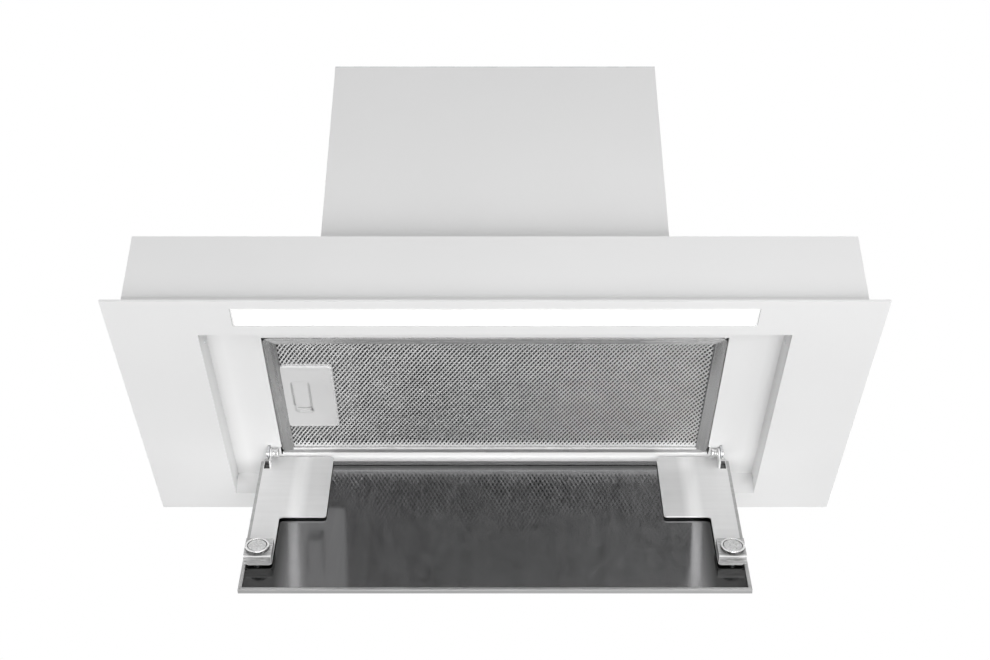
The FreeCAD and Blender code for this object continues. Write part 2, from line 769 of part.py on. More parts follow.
def make_cable_gland():
    """Gland through the lid for the mains lead, with its nut below."""
    middle = (gland_left, gland_back)
    head = rod("z", "gland_head_radius", "housing_top", "housing_top + gland_head_height", middle)
    shank = rod("z", "gland_shank_radius", "housing_top - gland_shank_length", "housing_top", middle)
    bore = rod("z", "gland_bore_radius",
               *past("housing_top - gland_shank_length", "housing_top + gland_head_height"), middle)
    node("cable_gland", cut(fuse(head, shank), bore))
    nut = rod("z", "gland_head_radius", f"{lid_under} - gland_nut_height", lid_under, middle)
    thread = rod("z", "gland_shank_radius", *past(f"{lid_under} - gland_nut_height", lid_under), middle)
    node("gland_nut", cut(nut, thread))


def make_electrics():
    """Control box with its lid, board and terminal block on the left, light driver on the right."""
    x = span(-1, f"{tub_side} + box_gap", f"{tub_side} + box_gap + box_width")
    y = ("-box_front", "box_length - box_front")
    top = f"({floor} + box_height)"
    outer = block(x, y, (floor, top))
    room = [inset(x, "box_wall"), inset(y, "box_wall")]
    node("control_box", cut(outer, block(*room, (f"{floor} + box_wall", f"{top} + overcut"))))
    node("control_lid", block(x, y, (top, f"{top} + box_lid")))
    board = [inset(limits, "board_gap") for limits in room]
    board_under = f"({floor} + box_wall + board_lift)"
    board_top = f"({board_under} + board_thickness)"
    posts = [block(board[0], (low, f"{low} + board_lift"), (f"{floor} + box_wall", board_under))
             for low in (board[1][0], f"{board[1][1]} - board_lift")]
    node("control_board", fuse(block(*board, (board_under, board_top)), *posts))
    terminal_x = (board[0][0], f"{board[0][0]} + terminal_width")
    terminal_y = (f"{board[1][1]} - terminal_length", board[1][1])
    node("terminal_block", block(terminal_x, terminal_y, (board_top, f"{board_top} + terminal_height")))
    driver_x = span(1, f"{tub_side} + box_gap", f"{tub_side} + box_gap + driver_width")
    node("led_driver", block(driver_x, ("-box_front", "driver_length - box_front"),
                             (floor, f"{floor} + driver_height")))


def make_light():
    """Diffuser flush in the flange, under a channel with a board of chips and two end caps."""
    half = f"({light_side} + light_clearance)"
    board_half = f"({light_side} - light_board_inset)"
    front = f"({light_front} - light_clearance)"
    rear = f"({light_rear} + light_clearance)"
    top = f"({floor} + channel_height)"
    board_top = f"({top} - channel_wall)"
    board_under = f"({board_top} - light_board_thickness)"
    middle = f"({light_front} + light_width/2)"
    y = (f"{front} - channel_wall", f"{rear} + channel_wall")
    outer = block(both(half), y, (floor, top))
    room = block(both(f"{half} + overcut"), (front, rear), (f"{floor} - overcut", board_top))
    node("led_channel", cut(outer, room))
    caps = [block(span(side, half, f"{half} + end_cap_thickness"), y, (floor, top)) for side in (-1, 1)]
    node("led_end_caps", group(caps))
    node("led_board", block(both(board_half), around(middle, "light_board_width/2"),
                            (board_under, board_top)))
    chips = []
    for number in range(int(size("chip_count"))):
        low = f"{board_half}*((2*{number} + 1)/chip_count - 1) - chip_size/2"
        chips.append(block((low, f"{low} + chip_size"), around(middle, "chip_size/2"),
                           (f"{board_under} - chip_height", board_under)))
    node("led_chips", group(chips))
    node("led_diffuser", block(both(light_side), (light_front, light_rear),
                               (flange_under, f"{flange_under} + diffuser_thickness")))


def latch_window(x, extra="latch_gap"):
    """The hole that the latch bolt passes through a wall that spans x."""
    return block(x, around(latch_middle, f"(bolt_width/2 + {extra})"),
                 (f"{bolt_under} - {extra}", f"{carriage_top} + {extra}"))


def hook_block(place, extra, x):
    middle = f"(({filter_front} + {filter_rear})/2 + {place}*hook_spacing/2)"
    low = f"({ceiling} + hook_rise)"
    return block(x, around(middle, f"(hook_width/2 + {extra})"),
                 (f"{low} - {extra}", f"{low} + hook_thickness + {extra}"))


def make_filter_seat():
    """Folded frame above the ceiling opening, with a lip over the filter and slots for its catches."""
    wall = "sheet_thickness"
    top = f"({filter_top} + seat_gap + {wall})"
    foot = block(both(f"{opening_side} + seat_foot"),
                 (f"{opening_front} - seat_foot", f"{opening_rear} + seat_foot"),
                 (ceiling_top, f"{ceiling_top} + {wall}"))
    walls = block(both(f"{opening_side} + {wall}"), (f"{opening_front} - {wall}", f"{opening_rear} + {wall}"),
                  (ceiling_top, top))
    room = block(both(opening_side), (opening_front, opening_rear),
                 (f"{ceiling_top} - overcut", f"{top} - {wall}"))
    mouth = block(both(f"{opening_side} - seat_lip"), inset((opening_front, opening_rear), "seat_lip"),
                  (ceiling_top, f"{top} + overcut"))
    reach = past(opening_side, f"{opening_side} + seat_foot")
    slots = [latch_window(span(-1, *reach))]
    slots += [hook_block(place, "hook_clearance", reach) for place in (-1, 1)]
    slots += [corner_relief(side, past(ceiling_top, top)) for side in (-1, 1)]
    node("filter_seat", cut(fuse(foot, walls), room, mouth, *slots))


def make_filter():
    """Channel frame with a mesh pack inside, two hooks on the right and the latch handle on the left."""
    limits = [both(filter_side), (filter_front, filter_rear), (ceiling, filter_top)]
    whole = block(*limits)
    pocket = block(*[inset(limit, "frame_sheet") for limit in limits])
    window = block(inset(limits[0], "filter_border"), inset(limits[1], "filter_border"), past(*limits[2]))
    bolt_hole = latch_window(span(-1, f"{filter_side} - 2*frame_sheet", f"{filter_side} + overcut"))
    node("filter_frame", cut(whole, pocket, window, bolt_hole))
    mesh = block(*[inset(limit, "(frame_sheet + mesh_clearance)") for limit in limits])
    handle_limits = ((handle_left, handle_right), (handle_front, handle_rear))
    cup = block(*[inset(limit, "(cup_inset - mesh_clearance)") for limit in handle_limits],
                (ceiling, f"{filter_top} + overcut"))
    plate_room = block(*[inset(limit, "(-mesh_clearance)") for limit in handle_limits],
                       (ceiling, f"{plate_top} + mesh_clearance"))
    bolt_way = latch_window((f"-{filter_side}", f"{handle_left} + cup_inset"))
    node("filter_mesh", cut(mesh, cup, plate_room, bolt_way))
    node("filter_hooks", group(hook_block(place, "0", (filter_side, f"{filter_side} + hook_reach"))
                               for place in (-1, 1)))


def make_filter_handle():
    """Face plate with a closed cup behind it, slotted for the latch."""
    corners = [(handle_left, handle_front), (handle_right, handle_front),
               (handle_right, handle_rear), (handle_left, handle_rear)]
    plate = outline_pad("HandlePlate", corners, "handle_plate", plate_under, "handle_corner")
    x = inset((handle_left, handle_right), "cup_inset")
    y = inset((handle_front, handle_rear), "cup_inset")
    cup = block(x, y, (plate_top, cup_top))
    room = block(inset(x, "cup_wall"), inset(y, "cup_wall"), (plate_top, f"{cup_top} - cup_wall"))
    slot = block((f"{pad_left} + latch_gap", f"{pad_left} + 3*latch_gap + neck_width + latch_travel"),
                 around(latch_middle, "(neck_length/2 + latch_gap)"), past(plate_under, plate_top))
    bolt_hole = latch_window(past(x[0], f"{x[0]} + cup_wall"))
    node("filter_handle", cut(fuse(plate, cup), room, slot, bolt_hole))


def make_filter_latch():
    """Finger pad, neck, carriage and bolt in one moulding, and the spring that pushes it out."""
    pad_top = f"({plate_under} - pad_gap)"
    pad_right = f"({pad_left} + pad_width)"
    pad = block((pad_left, pad_right), (pad_front, pad_rear), (f"{pad_top} - pad_thickness", pad_top))
    neck = block((f"{pad_left} + 2*latch_gap", f"{pad_left} + 2*latch_gap + neck_width"),
                 around(latch_middle, "neck_length/2"), (pad_top, carriage_under))
    carriage = block((pad_left, carriage_right), around(latch_middle, "carriage_length/2"),
                     (carriage_under, carriage_top))
    bolt = block((f"-({opening_side} + bolt_reach)", f"{pad_left} + carriage_width/2"),
                 around(latch_middle, "bolt_width/2"), (bolt_under, carriage_top))
    node("filter_latch", fuse(pad, neck, carriage, bolt))
    wall = f"({handle_right} - cup_inset - cup_wall)"
    middle = (latch_middle, f"{carriage_under} + carriage_thickness/2")
    coil = rod("x", "spring_radius", carriage_right, wall, middle)
    node("latch_spring", cut(coil, rod("x", "spring_bore", *past(carriage_right, wall), middle)))


def make_hinges():
    """Brackets that hang through the ceiling with a stop for the open arm, headed pins and their clips."""
    clips = []
    middle = (hinge_back, hinge_up)
    for side, name in ((-1, "left"), (1, "right")):
        leg_x = span(side, bracket_inner, bracket_outer)
        foot_top = f"{ceiling_top} + bracket_sheet"
        leg = block(leg_x, around(hinge_back, "bracket_round"), (hinge_up, foot_top))
        stop = block(leg_x, (hinge_back, stop_back), (hinge_up, foot_top))
        foot = block(span(side, bracket_inner, f"{bracket_outer} + bracket_foot_width"),
                     around(hinge_back, "bracket_foot_length/2"), (ceiling_top, foot_top))
        end = rod("x", "bracket_round", *leg_x, middle)
        bore = rod("x", "pin_radius", *span(side, *past(bracket_inner, bracket_outer)), middle)
        node(f"hinge_bracket_{name}", cut(fuse(leg, stop, foot, end), bore))
        head_outer = f"({ear_inner} - hinge_side_gap)"
        head = rod("x", "pin_head_radius", *span(side, f"{head_outer} - pin_head_length", head_outer), middle)
        pin_end = f"({bracket_outer} + 2*clip_thickness)"
        shank = rod("x", "pin_radius", *span(side, head_outer, pin_end), middle)
        node(f"hinge_pin_{name}", fuse(head, shank))
        clip_x = span(side, bracket_outer, f"{bracket_outer} + clip_thickness")
        clips.append(cut(rod("x", "clip_radius", *clip_x, middle),
                         rod("x", "pin_radius", *both(panel_side), middle)))
    node("hinge_clips", group(clips))


# The panel's pieces are drawn closed, with the hinge axis at the origin.
panel_rear = "panel_rear_overhang"
panel_front = f"({recess_front} + panel_front_gap - {hinge_back})"
panel_inside = f"({flange_under} + panel_level - {hinge_up})"
arm_under = f"({panel_inside} + arm_lift)"
arm_top = f"({arm_under} + arm_thickness)"
arm_outer = f"({panel_side} - arm_outer_inset)"
arm_inner = f"({arm_outer} - arm_width)"
tongue_inner = f"({arm_outer} - arm_tongue_width)"
arm_rear = f"({panel_rear} + arm_rear_overhang)"
arm_front = f"({panel_front} + arm_front_gap)"
arm_shoulder = f"({arm_front} + ({arm_rear} - {arm_front})*arm_tongue_share)"
block_outer = f"({panel_side} - block_outer_inset)"
block_middle = f"({block_outer} - magnet_radius - magnet_inset)"
magnet_middle = f"({arm_front} + block_depth/2 - magnet_front_shift)"
magnet_under = f"({arm_top} + block_height)"
stop_back = f"({hinge_back} - ({arm_top} + stop_gap)/sin(panel_open_angle))"


def make_panel():
    """Steel skin with a raised rim all round, a stiffening core and a dark plate let into it."""
    skin_top = f"({panel_inside} - panel_thickness + panel_skin)"
    limits = [both(panel_side), (panel_front, panel_rear)]
    skin = block(*limits, (f"{panel_inside} - panel_thickness", panel_inside))
    room = block(*[inset(limit, "panel_rim") for limit in limits], (skin_top, f"{panel_inside} + overcut"))
    node("panel_skin", hang(cut(skin, room)))
    x, y = [inset(limit, "(panel_rim + plate_clearance)") for limit in limits]
    plate_low = f"({panel_inside} - panel_plate)"
    node("panel_core", hang(group([block(x, y, (skin_top, plate_low))])))
    node("panel_inner_plate", hang(group([block(x, y, (plate_low, panel_inside))])))


def make_arm(side, name):
    """L-shaped sheet arm with an ear folded up at the hinge, beside the window it was cut from."""
    corners = [(arm_inner, arm_rear), (arm_inner, arm_shoulder),
               (tongue_inner, arm_shoulder), (tongue_inner, arm_front),
               (arm_outer, arm_front), (arm_outer, arm_rear)]
    points = [(f"{side}*({x})", y) for x, y in corners]
    plate = outline_pad(f"ArmPlate{name.capitalize()}", points, "arm_thickness", arm_under, "arm_corner")
    ear_outer = f"({ear_inner} + bracket_sheet)"
    ear_x = span(side, ear_inner, ear_outer)
    ear = block(ear_x, ("-ear_front", "ear_rear"), (arm_under, "0"))
    tip = rod("x", "ear_round", *ear_x, ("0", "0"))
    window = block(span(side, ear_outer, f"{ear_outer} + ear_window"),
                   ("-ear_front", "ear_rear"), past(arm_under, arm_top))
    bore_x = span(side, *past(ear_inner, ear_outer))
    bore = rod("x", "pin_radius + pin_clearance", *bore_x, ("0", "0"))
    holes = [rod("z", "block_screw_radius", *past(arm_under, arm_top), place)
             for place in block_screw_places(side)]
    node(f"arm_{name}", hang(cut(fuse(cut(plate, window), ear, tip), bore, *holes)))


def block_screw_places(side):
    return [(f"{side}*{block_middle}", f"{magnet_middle} + {end}*block_screw_spacing/2") for end in (-1, 1)]


def make_arm_fittings():
    """Spacers under the arms, and on their ends a block with a pot magnet and two screws."""
    spacers, blocks, cups, discs, screws = [], [], [], [], []
    for side in (-1, 1):
        spacer_near = f"{arm_inner} + spacer_inset"
        wide = f"({arm_rear} - {arm_shoulder})"
        spacer_y = (f"{arm_shoulder} + {wide}*spacer_front_share", f"{arm_rear} - {wide}*spacer_rear_share")
        spacers.append(block(span(side, spacer_near, f"{spacer_near} + spacer_width"),
                             spacer_y,
                             (panel_inside, arm_under)))
        middle = (f"{side}*{block_middle}", magnet_middle)
        body = block(span(side, f"{tongue_inner} + block_inner_inset", block_outer),
                     (arm_front, f"{arm_front} + block_depth"), (arm_top, magnet_under))
        places = block_screw_places(side)
        holes = [rod("z", "block_screw_radius", arm_under, f"{arm_under} + block_screw_depth", place)
                 for place in places]
        blocks.append(cut(body, *holes))
        cup_top = f"{magnet_under} + magnet_height"
        cup = rod("z", "magnet_radius", magnet_under, cup_top, middle)
        disc_under = f"{magnet_under} + cup_floor"
        room = rod("z", "disc_radius + disc_gap", disc_under, f"{cup_top} + overcut", middle)
        cups.append(cut(cup, room))
        discs.append(rod("z", "disc_radius", disc_under, f"{disc_under} + disc_height", middle))
        for place in places:
            head_under = f"{arm_under} - block_screw_head_height"
            head = rod("z", "block_screw_head_radius", head_under, arm_under, place)
            shank = rod("z", "block_screw_radius", arm_under, f"{arm_under} + block_screw_depth", place)
            screws.append(fuse(head, shank))
    node("arm_spacers", hang(group(spacers)))
    node("magnet_blocks", hang(group(blocks)))
    node("magnet_cups", hang(group(cups)))
    node("magnet_discs", hang(group(discs)))
    node("block_screws", hang(group(screws)))


make_bottom_pan()
make_recess_rivets()
make_casing_shell()
make_housing_wrap()
make_housing_covers()
make_housing_screws()
make_outlet_collar()
make_flap("flap_front", -1)
make_flap("flap_rear", 1)
make_scroll()
make_impeller()
make_motor()
make_capacitor()
make_cable_gland()
make_electrics()
make_light()
make_filter_seat()
make_filter()
make_filter_handle()
make_filter_latch()
make_hinges()
make_panel()
make_arm(-1, "left")
make_arm(1, "right")
make_arm_fittings()
doc.recompute()

for item in doc.Objects:
    if "Invalid" in item.State or "Error" in item.State:
        raise RuntimeError(f"{item.Name} failed: {item.State}")
for item in nodes:
    if item.Shape.isNull() or not item.Shape.isValid() or not item.Shape.Solids:
        raise RuntimeError(f"{item.Label} has no valid shape")

os.makedirs("parts", exist_ok=True)
for item in nodes:
    item.Shape.exportStep(f"parts/{item.Label}.step")
print(len(nodes), "sub-parts written")
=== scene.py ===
import json
import math

import bmesh
import bpy
import numpy as np
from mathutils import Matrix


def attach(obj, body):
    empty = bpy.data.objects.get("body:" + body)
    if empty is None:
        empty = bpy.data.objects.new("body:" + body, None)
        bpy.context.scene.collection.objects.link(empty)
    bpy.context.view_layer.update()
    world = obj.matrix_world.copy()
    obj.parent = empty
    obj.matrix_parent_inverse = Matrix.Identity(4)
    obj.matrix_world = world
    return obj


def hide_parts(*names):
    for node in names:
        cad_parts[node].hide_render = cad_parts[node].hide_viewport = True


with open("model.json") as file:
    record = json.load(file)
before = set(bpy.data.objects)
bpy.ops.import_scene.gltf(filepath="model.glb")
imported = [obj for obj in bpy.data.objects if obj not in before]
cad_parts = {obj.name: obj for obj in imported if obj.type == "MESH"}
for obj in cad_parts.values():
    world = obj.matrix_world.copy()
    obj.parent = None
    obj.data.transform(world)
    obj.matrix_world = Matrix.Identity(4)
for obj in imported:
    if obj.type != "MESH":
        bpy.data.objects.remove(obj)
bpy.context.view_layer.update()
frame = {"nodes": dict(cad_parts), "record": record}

mm = 0.001
nodes = frame["nodes"]
scene = bpy.context.scene
scene.view_settings.view_transform = "Standard"
bodyOf = {n: b for b, names in frame["record"]["behaviour"]["bodies"].items() for n in names}
slotOf = {s["node"]: s["material_slot"] for s in frame["record"]["subparts"]}
print("frame loaded:", len(nodes), "nodes")

meshing = {"pieceGap": 1e-7, "nodeGap": 2e-6, "flat": math.radians(0.6), "bend": math.radians(40),
           "rollSegments": 2, "cornerPoints": 7}


def outward(points, quads):
    # signed volume of a closed shell, the sum of a . (b x c) over its triangles: negative means inside out
    a, b, c, d = [points[quads[:, k]] for k in range(4)]
    volume = np.einsum("ij,ij->", a, np.cross(b, c)) + np.einsum("ij,ij->", a, np.cross(c, d))
    return quads if volume > 0 else quads[:, ::-1]


def linked(name, data):
    thing = bpy.data.objects.new(name, data)
    scene.collection.objects.link(thing)
    return thing


def weld(source, mesh, gap, flat=None):
    # points closer than the gap become one, and faces that meet flatter than the angle are joined
    work = bmesh.new()
    work.from_mesh(source)
    bmesh.ops.remove_doubles(work, verts=work.verts, dist=gap)
    if flat is not None:
        bmesh.ops.dissolve_limit(work, angle_limit=flat, verts=work.verts, edges=work.edges)
    work.to_mesh(mesh)
    work.free()


def pieceFromArrays(name, points, quads, sharp=30, merge=True):
    # whole arrays go straight into the mesh: points (n, 3) in millimetres, quads (m, 4)
    points = np.asarray(points, float).reshape(-1, 3) * mm
    quads = outward(points, np.asarray(quads, np.int32))
    mesh = bpy.data.meshes.new(name)
    mesh.vertices.add(len(points))
    mesh.vertices.foreach_set("co", points.astype(np.float32).ravel())
    mesh.loops.add(quads.size)
    mesh.loops.foreach_set("vertex_index", np.ascontiguousarray(quads, np.int32).ravel())
    mesh.polygons.add(len(quads))
    mesh.polygons.foreach_set("loop_start", np.arange(0, quads.size, 4, dtype=np.int32))
    mesh.update(calc_edges=True)
    if merge:
        weld(mesh, mesh, meshing["pieceGap"])
    mesh.polygons.foreach_set("use_smooth", np.full(len(mesh.polygons), sharp is not None, bool))
    if sharp is not None:
        mesh.set_sharp_from_angle(angle=math.radians(sharp))
    mesh.update()
    return linked(name, mesh)


def readPlaces(parts, label):
    # one row of x, y, z for each vertex or face
    places = np.empty(len(parts) * 3, np.float32)
    parts.foreach_get(label, places)
    return places.reshape(-1, 3)


def gridQuads(rows, cols, wrapRows=False, wrapCols=False):
    # corner numbers of every cell of a rows by cols grid, wrapping round where asked
    r = np.arange(rows if wrapRows else rows - 1)
    c = np.arange(cols if wrapCols else cols - 1)
    r, c = np.meshgrid(r, c, indexing="ij")
    rn, cn = (r + 1) % rows, (c + 1) % cols
    return np.stack([r * cols + c, r * cols + cn, rn * cols + cn, rn * cols + c], -1).reshape(-1, 4)


def copiedQuads(count, rows, cols):
    # the cells of a tube of rows by cols, once for each copy
    tube = gridQuads(rows, cols, False, True)
    return (tube[None] + (np.arange(count) * rows * cols)[:, None, None]).reshape(-1, 4)


def arc(middle, radius, start, end, count):
    # points of a circle between two angles given in degrees
    turn = np.radians(np.linspace(start, end, count))
    return np.stack([middle[0] + radius * np.cos(turn), middle[1] + radius * np.sin(turn)], -1)


def ramp(value, low, high):
    # smooth step: nothing below low, one above high
    t = np.clip((value - low) / (high - low), 0, 1)
    return t * t * (3 - 2 * t)


def loopRows(middle, halfX, halfY, radius):
    # one rounded rectangle per row: quarter circles of that row's radius about its four corner middles
    halfX, halfY, radius = [np.asarray(v, float).reshape(-1, 1) for v in (halfX, halfY, radius)]
    count = meshing["cornerPoints"]
    corner = np.repeat(np.arange(4), count)
    turn = (corner + np.tile(np.linspace(0, 1, count), 4)) * (np.pi / 2)
    signX, signY = np.array([1, -1, -1, 1])[corner], np.array([1, 1, -1, -1])[corner]
    x = middle[0] + signX * (halfX - radius) + radius * np.cos(turn)
    y = middle[1] + signY * (halfY - radius) + radius * np.sin(turn)
    return x, y


def ringShell(name, middle, half, insets, heights, radii, wrap, shares=(1, 1)):
    # a profile of (inset, height) carried round a rounded rectangle, its insets drawn in by a share along the
    # front and along the rear; without wrap its ends close to a point
    insets, heights, radii = [np.asarray(v, float) for v in (insets, heights, radii)]
    front, rear = shares
    x, y = loopRows(middle, half[0] - insets, half[1] - insets * (front + rear) / 2, radii)
    y = y + (insets * (front - rear) / 2).reshape(-1, 1)
    points = np.stack([x, y, np.broadcast_to(heights[:, None], x.shape)], -1)
    if not wrap:
        ends = [np.broadcast_to(points[k].mean(0), points[k].shape) for k in (0, -1)]
        points = np.concatenate([ends[:1], points, ends[1:]])
    rows, cols = points.shape[:2]
    return pieceFromArrays(name, points, gridQuads(rows, cols, wrap, True))


def turnedPoints(profile, axis, places, sides):
    # a profile of (radius, height) turned about an axis through each place: height runs along the axis
    profile = np.asarray(profile, float)
    turn = np.arange(sides) * (2 * np.pi / sides)
    r, h = profile[:, :1], profile[:, 1:]
    across, up = r * np.cos(turn), r * np.sin(turn)
    along = np.broadcast_to(h, across.shape)
    order = {"x": (along, across, up), "z": (across, up, along)}[axis]
    return np.stack(order, -1)[None] + np.asarray(places, float).reshape(-1, 1, 1, 3)


def turnedPiece(name, profile, axis, places, sides, moved=None):
    points = turnedPoints(profile, axis, places, sides)
    quads = copiedQuads(*points.shape[:3])
    points = points.reshape(-1, 3)
    return pieceFromArrays(name, moved(points) if moved else points, quads)


def softCopy(node, width, smooth=False):
    # a merged copy of a CAD node whose sharp edges a live bevel rolls over; flat sheets stay flat shaded
    mesh = bpy.data.meshes.new(node + "Soft")
    weld(nodes[node].data, mesh, meshing["nodeGap"], meshing["flat"])
    mesh.polygons.foreach_set("use_smooth", np.full(len(mesh.polygons), smooth, bool))
    piece = linked(node + "Soft", mesh)
    roll = piece.modifiers.new("rolledEdge", "BEVEL")
    roll.width = width * mm
    roll.segments = meshing["rollSegments"]
    roll.limit_method = "ANGLE"
    roll.angle_limit = meshing["bend"]
    roll.harden_normals = smooth
    return standFor(piece, node)


def standFor(piece, node):
    # the piece rides where its CAD node rides, hides it and takes its finish
    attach(piece, bodyOf[node])
    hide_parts(node)
    piece.data.materials.clear()
    piece.data.materials.append(finishes[slotOf[node]])
    return piece


# Shader helpers: a material keeps its own Principled shader, shared effects are groups of values and masks.
def feed(tree, node, sources):
    # each socket takes a link, or a plain number or colour of its own
    for socket, source in sources.items():
        if isinstance(source, bpy.types.NodeSocket):
            tree.links.new(source, node.inputs[socket])
        else:
            node.inputs[socket].default_value = source
    return node


def addNode(tree, kind, sources=(), **settings):
    node = tree.nodes.new("ShaderNode" + kind)
    for key, setting in settings.items():
        setattr(node, key, setting)
    return feed(tree, node, dict(sources))


def maths(tree, operation, *values, kind="Math", result=0):
    # one step of arithmetic on numbers, or on places with VectorMath
    return addNode(tree, kind, dict(enumerate(values)), operation=operation).outputs[result]


def spread(tree, source, low, high, fromLow=0.3, fromHigh=0.7):
    # a value between two limits becomes one between two others, held at the ends
    return addNode(tree, "MapRange", {0: source, 1: fromLow, 2: fromHigh, 3: low, 4: high}).outputs[0]


def mixed(tree, factor, first, second):
    return addNode(tree, "Mix", {0: factor, 2: first, 3: second}).outputs[0]


def blend(tree, factor, first, second):
    # from one colour to another, each written out or a socket
    first, second = [c if isinstance(c, bpy.types.NodeSocket) else (*c, 1) for c in (first, second)]
    return addNode(tree, "Mix", {0: factor, 6: first, 7: second}, data_type="RGBA").outputs[2]


def noise(tree, place, scale, detail, distortion=0.0):
    sources = {"Vector": place, "Scale": scale, "Detail": detail, "Distortion": distortion}
    return addNode(tree, "TexNoise", sources).outputs[0]


def startGroup(name, vectors, numbers, outputs):
    # every group takes a place, then its other vectors and numbers, and gives numbers
    group = bpy.data.node_groups.new(name, "ShaderNodeTree")
    sockets = [(label, "INPUT", "NodeSocketVector") for label in ("Place", *vectors)]
    sockets += [(label, "INPUT", "NodeSocketFloat") for label in numbers]
    for label, side, kind in sockets + [(label, "OUTPUT", "NodeSocketFloat") for label in outputs]:
        group.interface.new_socket(label, in_out=side, socket_type=kind)
    return group, group.nodes.new("NodeGroupInput").outputs, group.nodes.new("NodeGroupOutput")


def skinGroup(name, detail, slow):
    # fine noise for the bump, a slow cloud for tone
    group, given, out = startGroup(name, [], ["Grain"], ["Height", "Tone"])
    cloud = noise(group, given["Place"], slow, 2.0)
    feed(group, out, {"Height": noise(group, given["Place"], given["Grain"], detail),
                      "Tone": spread(group, cloud, 0, 1)})
    return group


def brushedGroup():
    # noise stretched along one direction: long thin lines, and broader bands over them
    group, given, out = startGroup("brushedLines", ["Stretch", "Band"], [], ["Lines", "Bands"])
    for label, stretch in (("Lines", "Stretch"), ("Bands", "Band")):
        along = maths(group, "MULTIPLY", given["Place"], given[stretch], kind="VectorMath")
        feed(group, out, {label: spread(group, noise(group, along, 1.0, 3.0), 0, 1)})
    return group


def smudgeGroup():
    # soft clouds where hands and cloths have touched the metal
    group, given, out = startGroup("smudges", [], ["Size"], ["Mask"])
    cloud = noise(group, given["Place"], given["Size"], 4.0, 0.6)
    feed(group, out, {"Mask": spread(group, cloud, 0, 1, 0.42, 0.68)})
    return group


def flakeGroup():
    # crystal flakes of zinc plating, each with its own grey
    group, given, out = startGroup("zincFlakes", [], ["Flakes"], ["Tone", "Edge"])
    cells = addNode(group, "TexVoronoi", {"Vector": given["Place"], "Scale": given["Flakes"]}).outputs
    tone = addNode(group, "SeparateColor", {0: cells["Color"]}).outputs[0]
    feed(group, out, {"Tone": tone, "Edge": cells["Distance"]})
    return group


def zoneGroup():
    # one inside a box that is mirrored left and right, zero outside: the largest of |p - middle| - half over
    # the axes, faded over the soft width
    group, given, out = startGroup("boxZone", ["Middle", "Half"], ["Soft"], ["Mask"])
    x, y, z = addNode(group, "SeparateXYZ", {0: given["Place"]}).outputs
    folded = addNode(group, "CombineXYZ", {0: maths(group, "ABSOLUTE", x), 1: y, 2: z}).outputs[0]
    away = maths(group, "SUBTRACT", folded, given["Middle"], kind="VectorMath")
    away = maths(group, "ABSOLUTE", away, kind="VectorMath")
    away = maths(group, "SUBTRACT", away, given["Half"], kind="VectorMath")
    x, y, z = addNode(group, "SeparateXYZ", {0: away}).outputs
    most = maths(group, "MAXIMUM", maths(group, "MAXIMUM", x, y), z)
    feed(group, out, {"Mask": spread(group, most, 1.0, 0.0, 0.0, given["Soft"])})
    return group


paintGrain = skinGroup("paintGrain", 2.0, 7.0)  # orange peel
mouldSkin = skinGroup("mouldSkin", 1.0, 30.0)  # spark-eroded mould
brushedLines, smudges, zincFlakes, boxZone = brushedGroup(), smudgeGroup(), flakeGroup(), zoneGroup()


def startMaterial(name, metallic=0.0):
    mat = bpy.data.materials.new(name)
    mat.use_nodes = True
    tree = mat.node_tree
    tree.nodes.clear()
    shader = addNode(tree, "BsdfPrincipled", {"Metallic": metallic})
    addNode(tree, "OutputMaterial", {0: shader.outputs[0]})
    return mat, tree, shader, addNode(tree, "TexCoord").outputs["Object"]


def useGroup(tree, group, place, **values):
    return addNode(tree, "Group", {"Place": place, **values}, node_tree=group).outputs


def turnedPlace(tree, place, degrees):
    return addNode(tree, "Mapping", {"Vector": place, "Rotation": (math.radians(degrees), 0, 0)}).outputs[0]


def dress(tree, shader, s, colour, rough, height):
    # colour, roughness and a fine bump reach the shader
    bump = addNode(tree, "Bump", {"Height": height, "Strength": s["bump"], "Distance": s["depth"]})
    feed(tree, shader, {"Base Color": colour, "Roughness": rough, "Normal": bump.outputs[0]})


def zoneMask(tree, place, box):
    return useGroup(tree, boxZone, place, Middle=box["middle"], Half=box["half"], Soft=box["soft"])[0]


def zoneTones(tree, place, zones, colour):
    # the colour changes to another tone inside each box
    for box in zones:
        mask = zoneMask(tree, turnedPlace(tree, place, box["turn"]), box)
        colour = blend(tree, mask, colour, box["tone"])
    return colour


def smudgedRough(tree, place, s, tone):
    # roughness follows the tone, and smudges add to it
    marks = useGroup(tree, smudges, place, Size=s["smudge"])
    return maths(tree, "MULTIPLY_ADD", marks["Mask"], s["smear"], spread(tree, tone, *s["rough"], 0, 1))


def brushedMetal(name, s):
    mat, tree, shader, place = startMaterial(name, s.get("metallic", 1.0))
    brushed = turnedPlace(tree, place, s["turn"]) if "turn" in s else place
    lines = useGroup(tree, brushedLines, brushed, Stretch=s["stretch"], Band=s["band"])
    tone = spread(tree, maths(tree, "MULTIPLY_ADD", lines["Lines"], 0.6, lines["Bands"]), 0, 1, 0.2, 1.4)
    colour = zoneTones(tree, place, s.get("zones", ()), blend(tree, tone, s["dark"], s["light"]))
    dress(tree, shader, s, colour, smudgedRough(tree, brushed, s, tone), lines["Lines"])
    return mat


